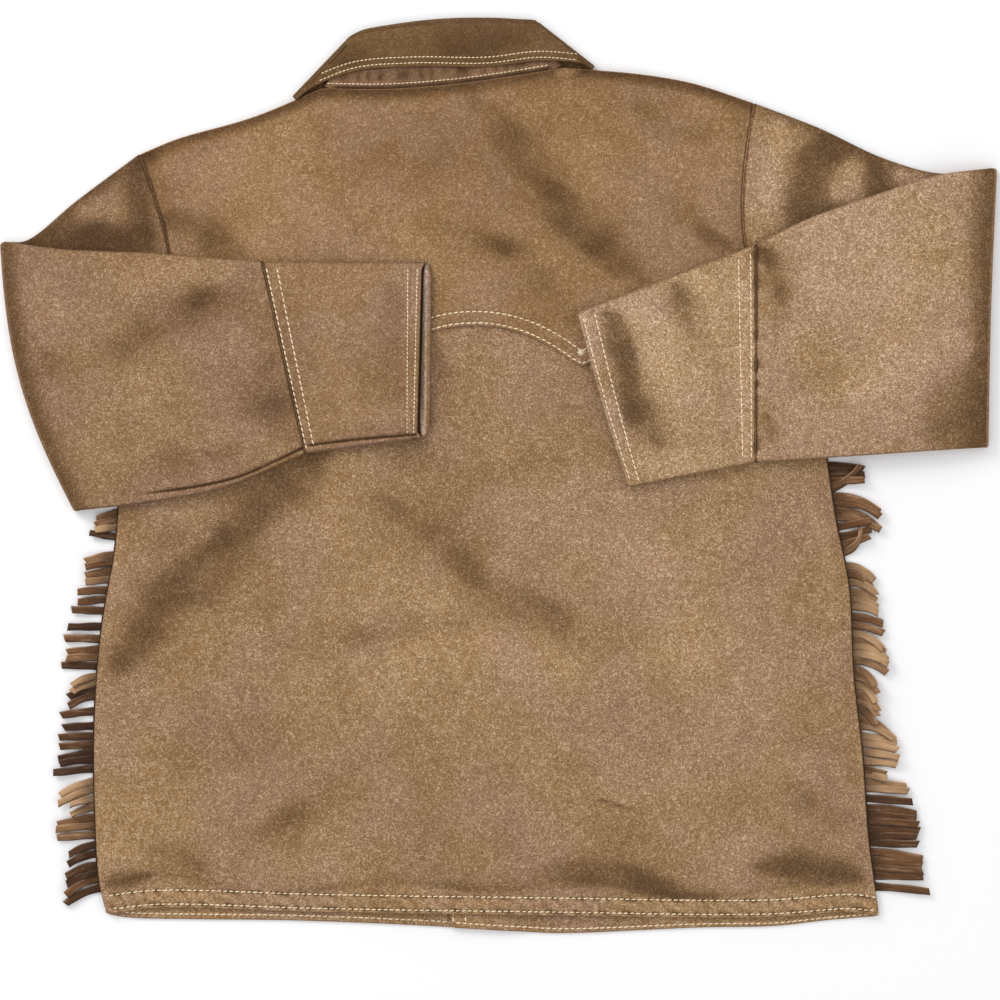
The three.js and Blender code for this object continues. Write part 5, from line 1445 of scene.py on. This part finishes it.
def fringe_backing(side, seam):
    outside = -1 if side == "left" else 1
    line = seam(np.linspace(STRIP["from"], STRIP["to"], 90))
    shifts = np.linspace(-STRIP["inside"], STRIP["outside"], 4)
    edges = [line + [outside * shift, 0] for shift in shifts]
    top, low = (
        np.array([np.column_stack([edge, np.full(len(edge), z)]) for edge in edges])
        for z in (STRIP["high"], STRIP["low"])
    )
    return shell(f"fringe_{side}_strip", top, low, finish=fringe_suede)


side_seams = {"left": panel_side(SIDE_LEFT, ARMHOLE_LEFT), "right": panel_side(SIDE_RIGHT, ARMHOLE_RIGHT)}
strands = {side: fringe(side, seam) for side, seam in side_seams.items()}
strips = {side: fringe_backing(side, seam) for side, seam in side_seams.items()}

# %% [markdown]
# ## Topstitching
#
# Cream thread runs in twin rows round the yoke, the cuffs, the collar and the hems. A drawn
# line would look printed on, so every stitch is a small grain of thread whose two ends dive
# into the cloth. A ray from above finds the cloth's height and slope at each stitch, and every
# stitch is turned a few degrees off its row, as a lockstitch in thick cloth is.

# %% Thread
def thread_finish():
    finish = Finish("thread", Roughness=0.6, Specular_IOR_Level=0.4, Sheen_Weight=0.2)
    where = finish.node("TexCoord", {}, {}, output=3)
    twist = finish.noise(where, 1500.0, 1.0)
    grime = finish.noise(where, 40.0, 2.0)
    colour = finish.mix(twist.between(0.3, 0.7), paint(228, 202, 160), paint(255, 240, 206))
    colour = finish.mix(grime.between(0.5, 0.7) * 0.35, colour, paint(190, 156, 112))
    normal = finish.node("Bump", {}, {"Height": twist, "Strength": 0.4, "Distance": 0.0003})
    return finish.wear(Base_Color=colour, Normal=normal)


thread = thread_finish()
PLAIN_STITCH = {"pitch": 5.1, "length": 4.6, "width": 1.15, "height": 0.7}
FINE_STITCH = {"pitch": 3.5, "length": 3.0, "width": 0.85, "height": 0.55}
STITCH_TILT = 8.0
SIDES = 6


def grain():
    """One stitch along X: rings that shrink to its two ends."""
    rings = [(-0.5, 0.0), (-0.36, 0.75), (-0.12, 1.0), (0.12, 1.0), (0.36, 0.75), (0.5, 0.0)]
    angles = np.arange(SIDES) * 2 * math.pi / SIDES
    points, faces = [], []
    for along, size in rings[1:-1]:
        for angle in angles:
            dip = -0.35 * (2 * along) ** 2
            points.append((along, size * math.cos(angle) / 2, size * math.sin(angle) / 2 + dip))
    points += [(-0.5, 0, -0.5), (0.5, 0, -0.5)]
    for r in range(len(rings) - 3):
        for s in range(SIDES):
            a, b = r * SIDES + s, r * SIDES + (s + 1) % SIDES
            faces.append((a, b, b + SIDES, a + SIDES))
    last = (len(rings) - 3) * SIDES
    for s in range(SIDES):
        faces.append((len(points) - 2, (s + 1) % SIDES, s))
        faces.append((len(points) - 1, last + s, last + (s + 1) % SIDES))
    return np.array(points), faces


GRAIN_POINTS, GRAIN_FACES = grain()


def stitch_places(line, pitch):
    """Points a stitch apart along a line, with the line's direction at each."""
    fine = resampled(line, 600)
    gone = np.concatenate([[0], np.cumsum(np.linalg.norm(np.diff(fine, axis=0), axis=1))])
    wanted = np.arange(pitch / 2, gone[-1], pitch)
    spots = np.stack([np.interp(wanted, gone, fine[:, k]) for k in (0, 1)], 1)
    ahead = np.stack([np.interp(wanted + 0.5, gone, fine[:, k]) for k in (0, 1)], 1)
    return spots, ahead - spots


def sew(name, cloth, lines, places, stitch):
    """Joins a grain of thread for each stitch of some lines, laid on a piece of cloth.

    places adds single stitches, each with its middle and its way, as long as that way says.
    """
    surface = BVHTree.FromObject(cloth, bpy.context.evaluated_depsgraph_get())
    points, faces = [], []
    rows = [stitch_places(line, stitch["pitch"]) for line in lines]
    stitches = [(spot, unit(way)) for row in rows for spot, way in zip(*row)]
    for k, (spot, way) in enumerate([*stitches, *places]):
        hit, normal, _, _ = surface.ray_cast(Vector((spot[0] * MM, spot[1] * MM, 0.1)), Vector((0, 0, -1)))
        if hit is None or normal.z < 0.5:
            continue
        tilt = math.radians(STITCH_TILT + 4 * vary(k, 11))
        flat = math.atan2(way[1], way[0]) + tilt
        along = np.array([math.cos(flat), math.sin(flat), 0])
        up = np.array(normal)
        along = unit(along - up * along.dot(up))
        side = np.cross(up, along)
        length = stitch["length"] * math.hypot(*way) * (1 + 0.06 * vary(k, 12))
        size = (length, stitch["width"], stitch["height"])
        base = np.array(hit) / MM + up * 0.12
        local = GRAIN_POINTS * size
        count = len(points) * len(GRAIN_POINTS)
        points.append(base + local[:, :1] * along + local[:, 1:2] * side + local[:, 2:] * up)
        faces += [tuple(i + count for i in face) for face in GRAIN_FACES]
    print(f"{len(points)} stitches")
    return mesh_piece(name, np.vstack(points), faces, thread)


STAR_TACK = (70.1, 105.4)
star_tack = [(STAR_TACK, (1.9 * math.cos(a), 1.9 * math.sin(a))) for a in np.radians([10, 46, 82, 118, 154])]
SEWN = [  # name, cloth, rows, single stitches, kind of stitch
    ("hem", lower_back, hem_rows, (), PLAIN_STITCH),
    ("yoke", back_yoke, yoke_rows, star_tack, PLAIN_STITCH),
    ("left_front", left_front, front_rows_left, (), PLAIN_STITCH),
    ("right_front", right_front, front_rows_right + placket, (), PLAIN_STITCH),
    ("cuff_left", made_cuffs["left"], cuff_lines["left"][:2], (), PLAIN_STITCH),
    ("mouth_left", made_cuffs["left"], cuff_lines["left"][2:], (), FINE_STITCH),
    ("cuff_right", made_cuffs["right"], cuff_lines["right"], (), PLAIN_STITCH),
    ("collar_fall", collar_fall, leaf_rows, (), FINE_STITCH),
    ("collar_stand", collar_stand, stand_rows, (), FINE_STITCH),
]
stitching = [sew(f"stitches_{name}", *row) for name, *row in SEWN]

# %% [markdown]
# ## Press studs
#
# The studs keep their solids: a cap sunk in the outer face of the left front. They only need a
# better finish, an antiqued metal that is brighter where it has been rubbed.

# %% Press studs
def antique_metal():
    finish = Finish("stud_metal", Metallic=1.0, Roughness=0.38)
    where = finish.node("TexCoord", {}, {}, output=3)
    tarnish = finish.noise(where, 260.0, 4.0, 0.6)
    stretched = finish.node("Mapping", {}, {"Vector": where, "Scale": (900.0, 60.0, 60.0)})
    scratches = finish.noise(stretched, 1.0)
    colour = finish.mix(tarnish.between(0.4, 0.62), paint(74, 58, 38), paint(186, 156, 108))
    roughness = 0.55 - tarnish * 0.3 + scratches * 0.08
    normal = finish.node("Bump", {}, {"Height": tarnish, "Strength": 0.3, "Distance": 0.0002})
    return finish.wear(Base_Color=colour, Roughness=roughness, Normal=normal)


stud_metal = antique_metal()
for name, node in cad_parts.items():
    if name.startswith("stud_"):
        node.data.materials.clear()
        node.data.materials.append(stud_metal)

# %% [markdown]
# ## What each piece is, and what it stands for
#
# Every piece rides on the one body and stands for its solid. The table also lists its slot, which
# nothing here assigns, and its cut: the flat size of its wall, measured halfway through the cloth
# and with no seam allowance. A tube's width is its girth, all round.

# %% Rides, slots and cuts
PIECES = [  # piece, solids, slot, width and length of the cut in metres, its area
    (lower_back, ["back"], "suede", (0.664, 0.534), 0.312),
    (back_yoke, ["yoke"], "suede", (0.524, 0.253), 0.100),
    (left_front, ["front_left"], "suede", (0.334, 0.712), 0.205),
    (right_front, ["front_right"], "suede", (0.363, 0.733), 0.214),
    (made_sleeves["left"], ["sleeve_left"], "suede", (0.568, 0.383), 0.148),
    (made_sleeves["right"], ["sleeve_right"], "suede", (0.577, 0.437), 0.180),
    (made_cuffs["left"], ["cuff_left"], "suede", (0.335, 0.139), 0.0373),
    (made_cuffs["right"], ["cuff_right"], "suede", (0.370, 0.160), 0.0447),
    (collar_fall, ["collar_leaf"], "collar_suede", (0.661, 0.085), 0.033),
    (collar_stand, ["collar_stand"], "collar_suede", (0.499, 0.053), 0.0145),
]

# %% The floor
floor_mesh = bpy.data.meshes.new("floor")
REACH = 4.0
corners = [(-REACH, -REACH, 0), (REACH, -REACH, 0), (REACH, REACH, 0), (-REACH, REACH, 0)]
floor_mesh.from_pydata(corners, [], [(0, 1, 2, 3)])
floor_finish = Finish("floor", Roughness=0.9, Specular_IOR_Level=0.1, Base_Color=(0.93, 0.93, 0.93, 1.0))
floor_mesh.materials.append(floor_finish.material)
floor = bpy.data.objects.new("floor", floor_mesh)
bpy.context.collection.objects.link(floor)

for piece, nodes, slot, flat, area in PIECES:
    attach(piece, "root")
    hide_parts(*nodes)
for piece in stitching:
    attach(piece, "root")
for side in side_seams:
    for piece in (strands[side], strips[side]):
        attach(piece, "root")
        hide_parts(f"fringe_{side}")
